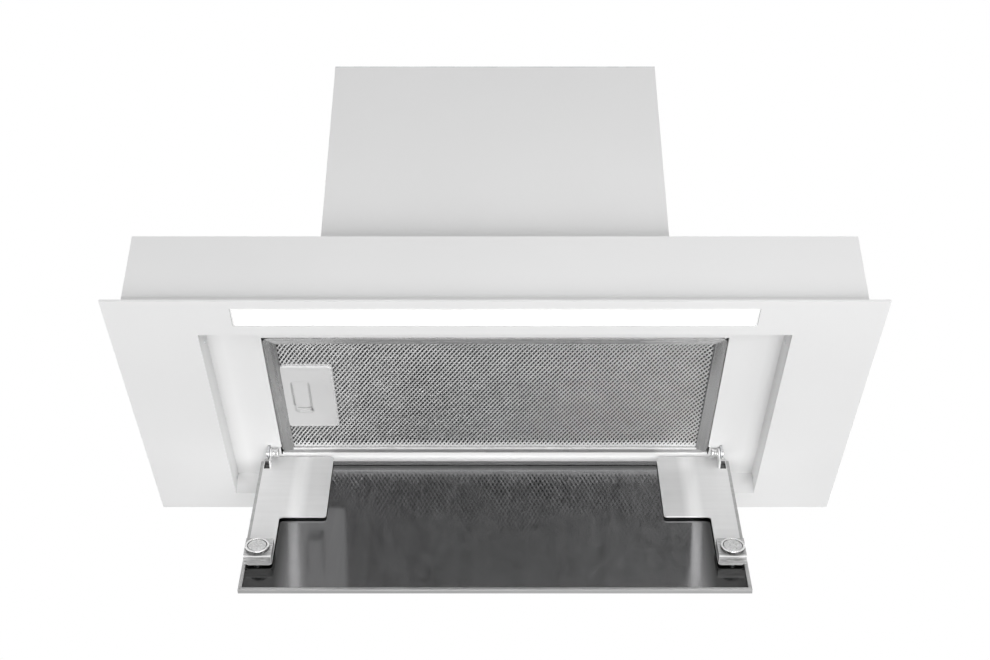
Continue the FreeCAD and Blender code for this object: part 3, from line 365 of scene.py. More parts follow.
def mitredMetal(name, s):
    # Brushed channel: the grain follows each border and turns at the corners' mitres, where the distance to the
    # end equals the border's share of that to the side. A fine dark joint shows there.
    mat, tree, shader, place = startMaterial(name)
    x, y, z = addNode(tree, "SeparateXYZ", {0: place}).outputs
    y = maths(tree, "SUBTRACT", y, s["middle"])
    behind = spread(tree, y, 0.0, 1.0, -s["blur"], s["blur"])
    x = maths(tree, "SUBTRACT", s["half"][0], maths(tree, "ABSOLUTE", x))
    y = maths(tree, "SUBTRACT", s["half"][1], maths(tree, "ABSOLUTE", y))
    lead = maths(tree, "SUBTRACT", y, maths(tree, "MULTIPLY", x, spread(tree, behind, *s["shares"], 0, 1)))
    side = maths(tree, "GREATER_THAN", lead, 0.0)
    joint = spread(tree, maths(tree, "ABSOLUTE", lead), 0.35, 1.0, 0.0, s["mitre"])
    # each border takes its own metallic share and tones below, painted light and shade on one metal: the front
    # lit, the rear and sides shaded
    bareFront, bareRear, bareSide = s["metallic"]
    bareEnds = spread(tree, behind, bareFront, bareRear, 0, 1)
    feed(tree, shader, {"Metallic": mixed(tree, side, bareEnds, bareSide)})
    along = useGroup(tree, brushedLines, place, Stretch=s["along"], Band=s["band"])
    across = useGroup(tree, brushedLines, place, Stretch=s["across"], Band=s["bandAcross"])
    lines, bands = [mixed(tree, side, along[part], across[part]) for part in ("Lines", "Bands")]
    tone = spread(tree, maths(tree, "MULTIPLY_ADD", lines, 0.5, bands), 0, 1, 0.2, 1.3)
    front, rear, flank = [blend(tree, tone, *s[part]) for part in ("front", "rear", "side")]
    colour = blend(tree, side, blend(tree, behind, front, rear), flank)
    colour = zoneTones(tree, place, s["zones"], blend(tree, joint, s["joint"], colour))
    dress(tree, shader, s, colour, smudgedRough(tree, place, s, tone), lines)
    return mat


def platedMetal(name, s):
    mat, tree, shader, place = startMaterial(name, 1.0)
    flakes = useGroup(tree, zincFlakes, place, Flakes=s["flakes"])
    colour = blend(tree, flakes["Tone"], s["dark"], s["light"])
    colour = zoneTones(tree, place, s.get("zones", ()), colour)
    dress(tree, shader, s, colour, smudgedRough(tree, place, s, flakes["Tone"]), flakes["Edge"])
    return mat


def grainedSkin(name, s, group=mouldSkin):
    # paint or moulded skin; where it has painted groove shade, it darkens as deep as the piece's own attribute
    # says
    mat, tree, shader, place = startMaterial(name)
    skin = useGroup(tree, group, place, Grain=s["grain"])
    colour = zoneTones(tree, place, s.get("zones", ()), blend(tree, skin["Tone"], s["dark"], s["light"]))
    if "paintedGrooveShade" in s:
        depth = addNode(tree, "Attribute", attribute_name="groove").outputs["Fac"]
        colour = blend(tree, depth, colour, s["paintedGrooveShade"])
    dress(tree, shader, s, colour, spread(tree, skin["Tone"], *s["rough"], 0, 1), skin["Height"])
    return mat


def litDiffuser(name, s):
    # opal strip: lit over its window, its border only faintly
    mat, tree, shader, place = startMaterial(name)
    skin = useGroup(tree, mouldSkin, place, Grain=s["grain"])
    glow = blend(tree, zoneMask(tree, place, s), s["border"], s["light"])
    feed(tree, shader, {"Emission Color": glow, "Emission Strength": s["strength"]})
    dress(tree, shader, s, blend(tree, skin["Tone"], s["dark"], s["light"]), s["rough"], skin["Height"])
    return mat


def printedBoard(name, s):
    # solder-masked board: rows of copper runs under green lacquer
    mat, tree, shader, place = startMaterial(name)
    runs = addNode(tree, "TexBrick", {"Vector": place, "Scale": s["runs"], "Mortar Size": s["gap"]})
    skin = useGroup(tree, mouldSkin, place, Grain=s["grain"])
    rough = spread(tree, skin["Tone"], *s["rough"], 0, 1)
    copper = runs.outputs["Fac"]
    dress(tree, shader, s, blend(tree, copper, s["dark"], s["light"]), rough, copper)
    return mat


def grey(level):
    return (level, level, level)


openAngle = 71.9  # degrees between the shut panel and the opened one


def zone(middle, half, soft, tone, turn=-openAngle):
    # a box in metres, in the frame of the panel laid flat again unless it has a turn of its own
    return {"middle": middle, "half": half, "soft": soft, "tone": tone, "turn": turn}


# the lighter strip behind the filter is painted light, and the darker ceiling near the side walls' bends is
# painted shade
whitePaint = {"light": grey(0.87), "dark": grey(0.85), "rough": (0.42, 0.5), "grain": 1100.0, "bump": 0.25,
              "depth": 0.00002, "zones": [  # bright strip behind the filter, shade at the ceiling's bends
                  zone((0, 0.109, 0.019), (0.188, 0.0172, 0.0012), 0.0015, grey(0.97), 0),
                  zone((0.2306, 0.009, 0.019), (0.0006, 0.118, 0.0006), 0.012, grey(0.73), 0)]}
steelSkin = {"light": grey(0.56), "dark": grey(0.44), "rough": (0.3, 0.4), "stretch": (30, 2600, 2600),
             "band": (4, 220, 220), "smudge": 18.0, "smear": 0.06, "bump": 0.2, "depth": 0.00001,
             "zones": [  # the dark film is folded over the rear rim
                 zone((0, 0.0445, -0.0885), (0.2028, 0.0042, 0.001), 0.0001, (0.19, 0.19, 0.193))]}
# the plate's darker sides are painted shade that dims their reflections, and its dark rear line is a painted
# reflection of the shaded gap at the filter frame's rear edge
darkPlate = {"light": (0.222, 0.222, 0.225), "dark": (0.194, 0.194, 0.197), "rough": (0.085, 0.11),
             "turn": -openAngle, "stretch": (2400, 40, 2400), "band": (120, 5, 120), "smudge": 14.0,
             "smear": 0.05, "bump": 0.05, "depth": 0.000004, "zones": [  # darker sides and rear line
                 zone((0.2, 0, 0), (0.022, 1, 1), 0.012, grey(0.07)),
                 zone((0, 0.0354, 0), (1, 0.0016, 1), 0.0006, grey(0.13))]}
# the narrow light band on each arm is a painted highlight, and the darker front edge is painted shade
armSteel = {"light": grey(0.87), "dark": grey(0.8), "metallic": 0.45, "rough": (0.44, 0.52),
            "turn": -openAngle, "stretch": (12, 260, 260), "band": (26, 8, 45), "smudge": 25.0,
            "smear": 0.06, "bump": 0.0, "depth": 0.000001, "zones": [  # light band, darker front edge
                zone((0.168, 0, 0), (0.002, 1, 1), 0.007, grey(1.0)),
                zone((0, -0.0930, 0), (1, 0.00135, 1), 0.0001, grey(0.55))]}
# the lighter front border and the darker rear and side borders are painted light and shade on one aluminium,
# and the bright rear lip is a painted highlight
frameAluminium = {"front": (grey(0.51), grey(0.58)), "rear": (grey(0.32), grey(0.36)),
                  "side": (grey(0.37), grey(0.44)), "joint": grey(0.12), "metallic": (0.55, 0.25, 1.0),
                  "rough": (0.22, 0.3), "along": (30, 2400, 2400), "across": (2400, 30, 2400),
                  "band": (6, 300, 300), "bandAcross": (300, 6, 300), "smudge": 30.0, "smear": 0.06,
                  "bump": 0.12, "depth": 0.000008, "mitre": 0.00025, "blur": 0.001, "middle": 0.00775,
                  "half": (0.186, 0.08325), "shares": (0.8, 0.62), "zones": [  # bright rear lip
                      zone((0, 0.08595, 0), (0.1765, 0.0008, 1), 0.0004, grey(0.7), 0)]}
# the white band along the blocks' upper front edge is a painted highlight
blockSteel = {"light": grey(0.76), "dark": grey(0.34), "metallic": 0.5, "rough": (0.3, 0.42),
              "stretch": (220, 1500, 1500), "band": (120, 700, 700), "smudge": 40.0, "smear": 0.08,
              "bump": 0.3, "depth": 0.00002, "zones": [  # bright upper edge in front
                  zone((0, -0.0917, -0.0769), (1, 0.0009, 0.0007), 0.0002, grey(1.0))]}
# a near-white, hardly metallic copy of the block steel for the blocks' rolled edges: a painted highlight
blockEdgeHighlight = dict(blockSteel, light=grey(0.97), dark=grey(0.9), metallic=0.1)
# the dark wall of the cups is painted shade, its zone leaning with the cups
cupSteel = {"light": grey(0.92), "dark": grey(0.84), "rough": (0.16, 0.26), "flakes": 700.0, "smudge": 60.0,
            "smear": 0.08, "bump": 0.1, "depth": 0.00001, "zones": [  # dark wall, leaning too
                zone((0, 0, -0.08457), (1, 1, 0.00192), 0.0001, grey(0.22), -65.6)]}
discSteel = {"light": grey(0.84), "dark": grey(0.58), "rough": (0.26, 0.4), "flakes": 900.0, "smudge": 60.0,
             "smear": 0.08, "bump": 0.2, "depth": 0.00003}
meshAluminium = {"light": grey(0.82), "dark": grey(0.71), "metallic": 0.6, "rough": (0.3, 0.4),
                 "stretch": (500, 500, 500), "band": (60, 60, 60), "smudge": 25.0, "smear": 0.08,
                 "bump": 0.2, "depth": 0.00001}
# a lighter, less metallic copy for the rows pressed flat at the rear is painted light
meshCrimpPaintedLight = dict(meshAluminium, light=grey(0.92), dark=grey(0.8), metallic=0.2)
# a near-black copy for the back layer is painted shade seen through the holes
meshBackPaintedShade = dict(meshAluminium, light=grey(0.1), dark=grey(0.07), metallic=0.8)
zincSteel = {"light": (0.7, 0.71, 0.72), "dark": (0.55, 0.56, 0.575), "rough": (0.3, 0.46), "flakes": 150.0,
             "smudge": 20.0, "smear": 0.08, "bump": 0.06, "depth": 0.00001}
brightPlate = dict(discSteel, light=grey(0.82), dark=grey(0.74), rough=(0.12, 0.2), bump=0.08, depth=0.000008)
greyPlastic = {"light": grey(0.71), "dark": grey(0.68), "rough": (0.4, 0.5), "grain": 1500.0, "bump": 0.15,
               "depth": 0.00002}
# dark painted shade in the grip's grooves
gripPlastic = dict(greyPlastic, paintedGrooveShade=grey(0.12))
blackPlastic = {"light": grey(0.028), "dark": grey(0.016), "rough": (0.42, 0.56), "grain": 1300.0,
                "bump": 0.3, "depth": 0.00003}
whitePlastic = dict(greyPlastic, light=grey(0.8), dark=grey(0.74), rough=(0.35, 0.45))
diffuserGlow = {"light": grey(1.0), "border": grey(0.012), "dark": grey(0.93), "strength": 4.0,
                "middle": (0, -0.12985, 0), "half": (0.1990, 0.0082, 1), "soft": 0.0007,
                "rough": 0.45, "grain": 1800.0, "bump": 0.1, "depth": 0.00001}
boardGreen = {"light": (0.16, 0.34, 0.17), "dark": (0.03, 0.16, 0.06), "runs": 160.0, "gap": 0.03,
              "rough": (0.3, 0.4), "grain": 1500.0, "bump": 0.3, "depth": 0.00004}
chipYellow = {"light": (0.9, 0.78, 0.3), "dark": (0.8, 0.66, 0.2), "rough": (0.25, 0.35), "grain": 3000.0,
              "bump": 0.1, "depth": 0.00001}
coreBoard = {"light": (0.5, 0.47, 0.4), "dark": (0.36, 0.33, 0.27), "rough": (0.7, 0.85), "grain": 700.0,
             "bump": 0.5, "depth": 0.0001}
blackRubber = {"light": grey(0.035), "dark": grey(0.02), "rough": (0.65, 0.8), "grain": 900.0, "bump": 0.35,
               "depth": 0.00004}

finishes = {
    "white_paint": grainedSkin("whitePaint", whitePaint, paintGrain),
    "steel_skin": brushedMetal("steelSkin", steelSkin),
    "dark_plate": brushedMetal("darkPlate", darkPlate),
    "arm_steel": brushedMetal("armSteel", armSteel),
    "frame_aluminium": mitredMetal("frameAluminium", frameAluminium),
    "filter_aluminium": brushedMetal("meshAluminium", meshAluminium),
    "zinc_steel": platedMetal("zincSteel", zincSteel),
    "bright_plate": platedMetal("brightPlate", brightPlate),
    "grey_plastic": grainedSkin("greyPlastic", greyPlastic),
    "black_plastic": grainedSkin("blackPlastic", blackPlastic),
    "white_plastic": grainedSkin("whitePlastic", whitePlastic),
    "diffuser": litDiffuser("diffuserGlow", diffuserGlow),
    "board": printedBoard("boardGreen", boardGreen),
    "chip": grainedSkin("chipYellow", chipYellow),
    "core": grainedSkin("coreBoard", coreBoard),
    "rubber": grainedSkin("blackRubber", blackRubber),
}
for label, part in nodes.items():
    part.data.materials.clear()
    part.data.materials.append(finishes[slotOf[label]])
print("finishes made:", len(finishes))


# Sheet metal and mouldings that keep their CAD shape, with rolled or moulded edges.
rolledEdges = {"bottom_pan": 0.35, "casing_shell": 0.4, "housing_wrap": 0.4, "housing_back": 0.3,
               "housing_lid": 0.3, "panel_skin": 0.22, "panel_inner_plate": 0.15, "arm_left": 0.3,
               "arm_right": 0.3, "hinge_bracket_left": 0.25, "hinge_bracket_right": 0.25, "magnet_blocks": 0.5,
               "led_diffuser": 0.3, "outlet_collar": 0.6, "flap_front": 0.3, "flap_rear": 0.3}
roundNodes = ("outlet_collar", "flap_front", "flap_rear")
for label, width in rolledEdges.items():
    softCopy(label, width, smooth=label in roundNodes)
print("rolled edges:", len(rolledEdges))


# Grease filter. Sizes in millimetres, in the frame of the hood.
filterBox = {"side": 186.0, "front": -75.5, "rear": 91.0, "under": 19.0, "top": 28.0}
filterMiddle = (0.0, (filterBox["front"] + filterBox["rear"]) / 2)
filterHalf = (filterBox["side"], (filterBox["rear"] - filterBox["front"]) / 2)
handlePlate = {"left": -177.4, "right": -133.8, "front": -36.4, "rear": 51.6}
meshPack = {"pitch": 3.7, "row": 3.204, "strand": 1.22, "gauge": 0.3, "layers": (22.6, 26.2),
            "shifts": ((0, 0), (0.9, 1.6)), "tilt": (28, 31), "twist": (0.4, 1.25, 0.4), "wobble": 7.0,
            "edge": 0.9, "handleLap": 1.2, "waves": ((0.18, 17), (0.14, 13)), "droop": 1.6,
            "reach": (9.0, 19.0), "crimp": (5.5, 12.5), "crimpWide": 1.1, "seed": 11}


def strandLayer(s, height, shift, number):
    # Expanded sheet: points (i pitch, j row), odd rows moved by half a pitch. From each point a strand runs to
    # the next row's left and right neighbours. A strand is a flat bar along its line, turned about that line;
    # the sheet waves by two sines, droops towards its rim and is pressed flat along the rear.
    rng = np.random.default_rng(s["seed"] + number)
    centre, inside = np.array(filterMiddle), np.array(filterHalf) - s["edge"]
    cols, rows = [np.arange(-int(reach / step) - 1, int(reach / step) + 2)
                  for reach, step in zip(inside, (s["pitch"], s["row"]))]
    i, j = np.meshgrid(cols, rows, indexing="ij")
    start = np.stack([(i + 0.5 * (j % 2)) * s["pitch"] + shift[0], j * s["row"] + shift[1]], -1).reshape(-1, 2)
    lean = np.repeat((-1, 1), len(start))
    tilt = np.repeat(np.radians(s["tilt"]), len(start))
    start = np.tile(start, (2, 1))
    step = np.stack([lean * s["pitch"] / 2, np.full(len(start), s["row"])], -1)
    middle = start + step / 2 + centre
    keep = (np.abs(middle - centre) < inside).all(1)
    left, right, front, rear = handlePlate.values()
    low, high = np.array([(left, front), (right, rear)])
    keep &= ~((middle > low + s["handleLap"]) & (middle < high - s["handleLap"])).all(1)
    start, step, tilt = start[keep] + centre, step[keep], tilt[keep]
    line = start[:, None] + step[:, None] * np.linspace(0, 1, 3)[None, :, None]
    line = np.clip(line, centre - inside, centre + inside)
    (highX, longX), (highY, longY) = s["waves"]
    wave = highX * np.sin(line[..., 0] / longX + number) + highY * np.sin(line[..., 1] / longY + 2 * number)
    away = (np.array(filterHalf) - np.abs(line - centre)).min(-1)
    wave = wave - s["droop"] * (1 - ramp(away, *s["reach"]))
    across = np.stack([-step[:, 1], step[:, 0]], -1) / np.linalg.norm(step, axis=1)[:, None]
    twist = tilt[:, None] * np.array(s["twist"]) + np.radians(rng.normal(0, s["wobble"], (len(start), 1)))
    crimp = 1 - ramp(filterBox["rear"] - line[..., 1], *s["crimp"])
    twist = twist * (1 - crimp)
    flat, rise = np.cos(twist)[..., None], np.sin(twist)[..., None]
    corner = np.array([(-1, -1), (1, -1), (1, 1), (-1, 1)]) * (s["strand"] / 2, s["gauge"] / 2)
    u, v = corner[:, 0] * (1 + s["crimpWide"] * crimp)[..., None], corner[:, 1]
    points = np.empty(line.shape[:2] + (4, 3))
    points[..., :2] = line[:, :, None] + (flat * u - rise * v)[..., None] * across[:, None, None]
    points[..., 2] = height + wave[..., None] + rise * u + flat * v
    return points, copiedQuads(*points.shape[:3])


# the back layer takes the near-black copy, painted shade
meshFinishes = ((finishes["filter_aluminium"], brushedMetal("meshCrimpPaintedLight", meshCrimpPaintedLight)),
                (brushedMetal("meshBackPaintedShade", meshBackPaintedShade),))
for number, (height, shift) in enumerate(zip(meshPack["layers"], meshPack["shifts"])):
    layer = pieceFromArrays("filterMeshLayer%d" % (number + 1), *strandLayer(meshPack, height, shift, number),
                            sharp=None, merge=False)
    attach(layer, bodyOf["filter_mesh"])
    for finish in meshFinishes[number]:
        layer.data.materials.append(finish)
    # the rows pressed flat along the rear take the lighter copy, painted light
    if number == 0:  # the rows pressed flat along the rear are lighter
        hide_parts("filter_mesh")
        rearRows = (filterBox["rear"] - meshPack["crimp"][1]) * mm
        pressed = readPlaces(layer.data.polygons, "center")[:, 1] > rearRows
        layer.data.polygons.foreach_set("material_index", pressed.astype(np.int32))
print("filter mesh:", len(meshPack["layers"]), "layers")

filterRim = {"border": 10.0, "sheet": 0.8, "bead": 0.42, "lap": 0.4, "beadDrop": 0.02,
             "beadArc": (150, 285, 9), "lip": 1.2, "lipDrop": 0.25, "lipTurn": (0.8, 8), "slope": 0.3,
             "corner": 5.5, "leastCorner": 0.05, "roll": 1.2, "ease": 0.35, "shares": (0.8, 0.62),
             "insideLip": ((-0.3, 1.6), (-0.6, 0.9)), "insideLow": ((1.6, 0.75), (0.8, 1.4)),
             "insideTop": ((0.8, 1.3), (1.4, 0.8))}


def buildFilterFrame(s):
    # Folded channel: its profile runs from the top flange's edge down the web, round a bead that laps the edge
    # of the opening, along the lower flange to a rolled lip, and back inside at one sheet's distance; the
    # profile is carried round the rectangle.
    top, under = filterBox["top"], filterBox["under"]
    lipIn, lipUp = s["border"] - s["lip"], under - s["lipDrop"] + s["slope"]
    halfTurns, count = s["lipTurn"]
    lipTurn = np.linspace(0, np.pi * halfTurns, count)
    profile = np.concatenate([
        [(s["border"], top), (s["roll"], top), (s["ease"], top - s["ease"]), (0.0, top - s["roll"]),
         (0.0, under + s["roll"])],
        arc((s["bead"] - s["lap"], under - s["beadDrop"]), s["bead"], *s["beadArc"]),
        np.stack([lipIn + s["lip"] * np.sin(lipTurn), lipUp + s["lip"] - s["lip"] * np.cos(lipTurn)], -1),
        [(lipIn + x, under + z) for x, z in s["insideLip"]], [(x, under + z) for x, z in s["insideLow"]],
        [(x, top - z) for x, z in s["insideTop"]], [(s["border"], top - s["sheet"])]])
    radii = np.maximum(s["corner"] - profile[:, 0], s["leastCorner"])
    return ringShell("filterFrame", filterMiddle, filterHalf, profile[:, 0], profile[:, 1], radii, True,
                     shares=s["shares"])


standFor(buildFilterFrame(filterRim), "filter_frame")
print("filter frame made")


def slabPoints(box, corner, step):
    # even grid over a rectangle whose corner cells are drawn in to a circle of the corner's radius
    left, right, front, rear = box
    x, y = np.meshgrid(np.linspace(left, right, int((right - left) / step) + 1),
                       np.linspace(front, rear, int((rear - front) / step) + 1), indexing="ij")
    cx, cy = np.clip(x, left + corner, right - corner), np.clip(y, front + corner, rear - corner)
    dx, dy = x - cx, y - cy
    wide, long = np.abs(dx), np.abs(dy)
    away = np.maximum(np.hypot(dx, dy), 1e-9)
    pull = np.where((wide > 0) & (long > 0), np.maximum(wide, long) / away, 1)
    x, y = cx + dx * pull, cy + dy * pull
    depth = np.where((wide > 0) | (long > 0), corner - np.hypot(x - cx, y - cy),
                     np.minimum(np.minimum(x - left, right - x), np.minimum(y - front, rear - y)))
    return x, y, depth


def slabPiece(name, x, y, low, high):
    # two sheets over one grid, low and high, joined all round their rim
    rows, cols = x.shape
    points = np.stack([np.stack([x, y, z], -1) for z in (low, np.full(x.shape, high))])
    grid = np.arange(rows * cols).reshape(rows, cols)
    rim = np.concatenate([grid[:, 0], grid[-1, 1:], grid[-2::-1, -1], grid[0, -2:0:-1]])
    after = np.roll(rim, -1)
    cells = gridQuads(rows, cols)
    quads = np.concatenate([cells[:, ::-1], cells + rows * cols,
                            np.stack([rim, after, after + rows * cols, rim + rows * cols], -1)])
    return pieceFromArrays(name, points, quads, 35)


def groove(away, strong, at, wide):
    # a bell of the distance from a line that lies at a place: its strength, that place and its width
    return strong * np.exp(-((away - at) / wide) ** 2)


def cornerEdge(x, y, left, rear, radius):
    # distance outside a tongue's left and rear edges, which meet in a quarter circle
    dx, dy = x - left - radius, y - rear + radius
    bend = np.hypot(np.minimum(dx, 0), np.maximum(dy, 0)) - radius
    return np.where((dx < 0) & (dy > 0), bend, np.maximum(left - x, y - rear))


gripSet = {"under": 19.3, "top": 22.6, "corner": 4.2, "roll": 0.9, "edge": 1.3, "step": 0.3, "deep": 2.6,
           "tongue": (-168.3, -155.9, -16.0, 20.6), "start": 8.0, "besideEnd": (5.6, 7.0), "bend": 3.0,
           "behindStart": (-0.5, 3.5), "behindEnd": (0.6, 1.8), "leftEnd": 1.0, "left": (0.75, 0.8, 0.75),
           "right": (0.4, 0.7, 0.9), "slot": (1.1, 2.4, 0.75), "trough": (0.4, 7.2, 1.3),
           "pit": (1.2, 0.0, 1.2), "pitAt": (0.4, 5.6)}
grooveShadeSet = {"start": 9.0, "bend": 3.2, "back": 8.2, "leftEnd": 0.6, "left": (0.3, 0.4, 1.0),
           "right": (0.26, 0.7, 1.1), "rightEnd": (6.5, 8.0), "line": (0.75, 2.7, 0.75), "lineStart": 2.5,
           "lineEnd": 1.0, "pit": (1.0, 0.0, 1.0), "pitAt": (0.6, 5.6), "pitSize": (1.3, 2.4)}


def gripGrooveShade(s, x, y):
    # Painted shade in the grooves: soft along the left, round behind and down the right, a fine line at the
    # tongue's end, and the pit full; each a bell of the distance to its line.
    left, right, front, rear = gripSet["tongue"]
    begins = ramp(y, front, front + s["start"])
    rightEnds = 1 - ramp(y - rear, *s["rightEnd"])
    outline = cornerEdge(x, y, left, rear + s["back"], s["bend"])
    pit = np.hypot((x - right - s["pitAt"][0]) / s["pitSize"][0], (y - rear - s["pitAt"][1]) / s["pitSize"][1])
    line = groove(y - rear, *s["line"]) * ramp(x, left, left + s["lineStart"]) * (x < right + s["lineEnd"])
    return np.max([groove(outline, *s["left"]) * begins * (x < right + s["leftEnd"]),
                   groove(x - right, *s["right"]) * begins * rightEnds, line, groove(pit, *s["pit"])], axis=0)


def buildGrip(s):
    # Plate height: rolled up by its edge; beside the tongue a soft trough on the left, a narrow slot on the
    # right that ends in a pit, a slot close behind it and a broad trough further back, each a bell of the
    # distance to its line, fading out at the front.
    x, y, depth = slabPoints(handlePlate.values(), s["corner"], s["step"])
    left, right, front, rear = s["tongue"]
    begins = ramp(y, front, front + s["start"])
    beside = begins * (1 - ramp(y - rear, *s["besideEnd"]))
    behind = ramp(x - left, *s["behindStart"]) * (1 - ramp(x - right, *s["behindEnd"]))
    edge = cornerEdge(x, y, left, rear, s["bend"])
    pit = np.hypot(x - right - s["pitAt"][0], y - rear - s["pitAt"][1])
    well = np.max([groove(edge, *s["left"]) * begins * (y < rear - s["leftEnd"]) * (x < right),
                   groove(x - right, *s["right"]) * beside, groove(y - rear, *s["slot"]) * behind,
                   groove(y - rear, *s["trough"]) * behind, groove(pit, *s["pit"])], axis=0)
    low = s["under"] + s["roll"] * (1 - ramp(depth, 0, s["edge"])) ** 2 + s["deep"] * well
    grip = slabPiece("filterGrip", x, y, low, s["top"])
    at = readPlaces(grip.data.vertices, "co") / mm
    # painted shade in the grooves, stored on each point
    paintedShade = grip.data.attributes.new("groove", "FLOAT", "POINT")
    paintedShade.data.foreach_set("value", gripGrooveShade(grooveShadeSet, at[:, 0], at[:, 1]).astype(np.float32))
    return grip


tongueSet = {"proud": 17.9, "flush": 19.2, "top": 19.24, "thin": 0.04, "corner": 2.6, "roll": 0.7, "edge": 1.2,
             "step": 0.3, "slope": (-4, 2)}


def buildTongue(s):
    # Tongue height: flush with the plate at its front, ramping down to its proud rear end, edges rolled over.
    left, right, front, rear = gripSet["tongue"]
    x, y, depth = slabPoints(gripSet["tongue"], s["corner"], s["step"])
    slope = ramp(y, front + s["slope"][0], rear + s["slope"][1])
    edge = s["roll"] * (1 - ramp(depth, 0, s["edge"])) ** 2 * slope
    low = np.minimum(s["flush"] + (s["proud"] - s["flush"]) * slope + edge, s["top"] - s["thin"])
    return slabPiece("latchTongue", x, y, low, s["top"])


boltSet = {"x": (-190.0, -166.0), "y": (1.0, 7.0), "z": (20.9, 22.9), "edge": 0.4, "corner": 0.8}


def buildBolt(s):
    # latch bolt: a bar with its long edges rounded, behind the plate
    (x0, x1), (y0, y1), (z0, z1) = s["x"], s["y"], s["z"]
    insets = np.array([s["edge"], 0, 0, s["edge"]])
    heights = np.array([z0, z0 + s["edge"], z1 - s["edge"], z1])
    return ringShell("latchBolt", ((x0 + x1) / 2, (y0 + y1) / 2), ((x1 - x0) / 2, (y1 - y0) / 2), insets,
                     heights, np.full(4, s["corner"]), False)


grip = standFor(buildGrip(gripSet), "filter_handle")
grip.data.materials[0] = grainedSkin("gripPlastic", gripPlastic)
standFor(buildTongue(tongueSet), "filter_latch")
standFor(buildBolt(boltSet), "filter_latch")
print("filter grip and latch made")

# Panel fittings are drawn with the panel shut, then hung open about the hinge line.
hingeLine = {"y": 85.7, "z": 14.5, "open": math.radians(openAngle), "head": 4.2, "inner": 194.9, "length": 5.5,
             "shank": 2.0, "tail": 200.3, "edge": 0.3, "brim": ((0.45, 0.75), 0.45, 90, -60, 6),
             "waist": ((0.2, 1.9), 0.75, 110, 230, 6), "button": ((1.0, 4.6), 0.9, 20, -90, 7),
             "dimple": ((1.5, 0), (1.1, 0.35), (0, 0.4)), "sides": 40}
potMagnet = {"x": 193.4, "y": -122.34, "low": 0.22, "rim": 3.52, "face": 3.32, "outer": 10.0, "inner": 8.1,
             "disc": 7.5, "bottom": 1.72, "lean": math.radians(6.3), "sunk": 0.25,
             "foot": ((0.5, 0), (0.5, 0.35), (0.1, 0.6)), "neck": ((0.1, 1.05), (0.45, 0.95), (0.45, 0.75)),
             "lip": 0.45, "innerLip": 0.2, "discEdge": 0.25, "rings": (7.2, 0.6, 20), "ringDeep": 0.03,
             "sides": 64}


def hang(points):
    # turned about the hinge line by the open angle
    c, t = math.cos(hingeLine["open"]), math.sin(hingeLine["open"])
    x, y, z = points.T
    return np.stack([x, hingeLine["y"] + y * c - z * t, hingeLine["z"] + y * t + z * c], -1)


def hangLeaning(points):
    # the magnets sit a few degrees out of square: turned about the line through their bases, then hung
    s = potMagnet
    c, t = math.cos(s["lean"]), math.sin(s["lean"])
    y, z = points[:, 1] - s["y"], points[:, 2] - s["low"]
    return hang(np.stack([points[:, 0], s["y"] + y * c + z * t, s["low"] - s["sunk"] - y * t + z * c], -1))


def buildPin(s, side, name):
    # Headed pin: shank, then a knob with a rounded brim, a waist and a button face with a dimple
    rounds = [arc((s["head"] - inset, s["inner"] - drop), *turn)
              for (inset, drop), *turn in (s["brim"], s["waist"], s["button"])]
    profile = np.concatenate([[(0, s["tail"]), (s["shank"] - s["edge"], s["tail"]),
                               (s["shank"], s["tail"] - s["edge"]), (s["shank"], s["inner"]),
                               (s["head"] - s["edge"], s["inner"])], *rounds,
                              [(r, s["inner"] - s["length"] + up) for r, up in s["dimple"]]])
    piece = turnedPiece("hingePin" + name, profile * (1, side), "x", [(0, s["y"], s["z"])], s["sides"])
    return standFor(piece, "hinge_pin_" + name.lower())


def cupProfile(s):
    # base, foot, wall, a neck below the rounded rim, and the well that takes the disc
    outer, inner, rim, lip, innerLip = [s[part] for part in ("outer", "inner", "rim", "lip", "innerLip")]
    return np.concatenate([[(0, s["low"])], [(outer - inset, s["low"] + up) for inset, up in s["foot"]],
                           [(outer - inset, rim - down) for inset, down in s["neck"]],
                           arc((outer - lip, rim - lip), lip, 0, 90, 6),
                           arc((inner + innerLip, rim - innerLip), innerLip, 90, 180, 4),
                           [(inner, s["bottom"]), (0, s["bottom"])]])


def discProfile(s):
    # a disc with a rounded edge and fine turned rings on its face
    disc, face, edge = s["disc"], s["face"], s["discEdge"]
    rings = [(r, face - s["ringDeep"] * (k % 2)) for k, r in enumerate(np.linspace(*s["rings"]))]
    return np.concatenate([[(0, s["bottom"]), (disc, s["bottom"])],
                           arc((disc - edge, face - edge), edge, 0, 90, 4), rings, [(0, face)]])


buildPin(hingeLine, -1, "Left")
buildPin(hingeLine, 1, "Right")
blocks = bpy.data.objects["magnet_blocksSoft"]
blocks.data.materials[0] = brushedMetal("blockSteel", blockSteel)
# the rolled edges take the near-white copy, a painted highlight
blocks.data.materials.append(brushedMetal("blockEdgeHighlight", blockEdgeHighlight))
blocks.modifiers["rolledEdge"].material = 1

magnetPlaces = [(side * potMagnet["x"], potMagnet["y"], 0) for side in (-1, 1)]
for name, node, profile, finish, setting in (
        ("magnetCups", "magnet_cups", cupProfile(potMagnet), "cupSteel", cupSteel),
        ("magnetDiscs", "magnet_discs", discProfile(potMagnet), "discSteel", discSteel)):
    pair = turnedPiece(name, profile, "z", magnetPlaces, potMagnet["sides"], hangLeaning)
    standFor(pair, node).data.materials[0] = platedMetal(finish, setting)
print("hinge pins and magnets made")

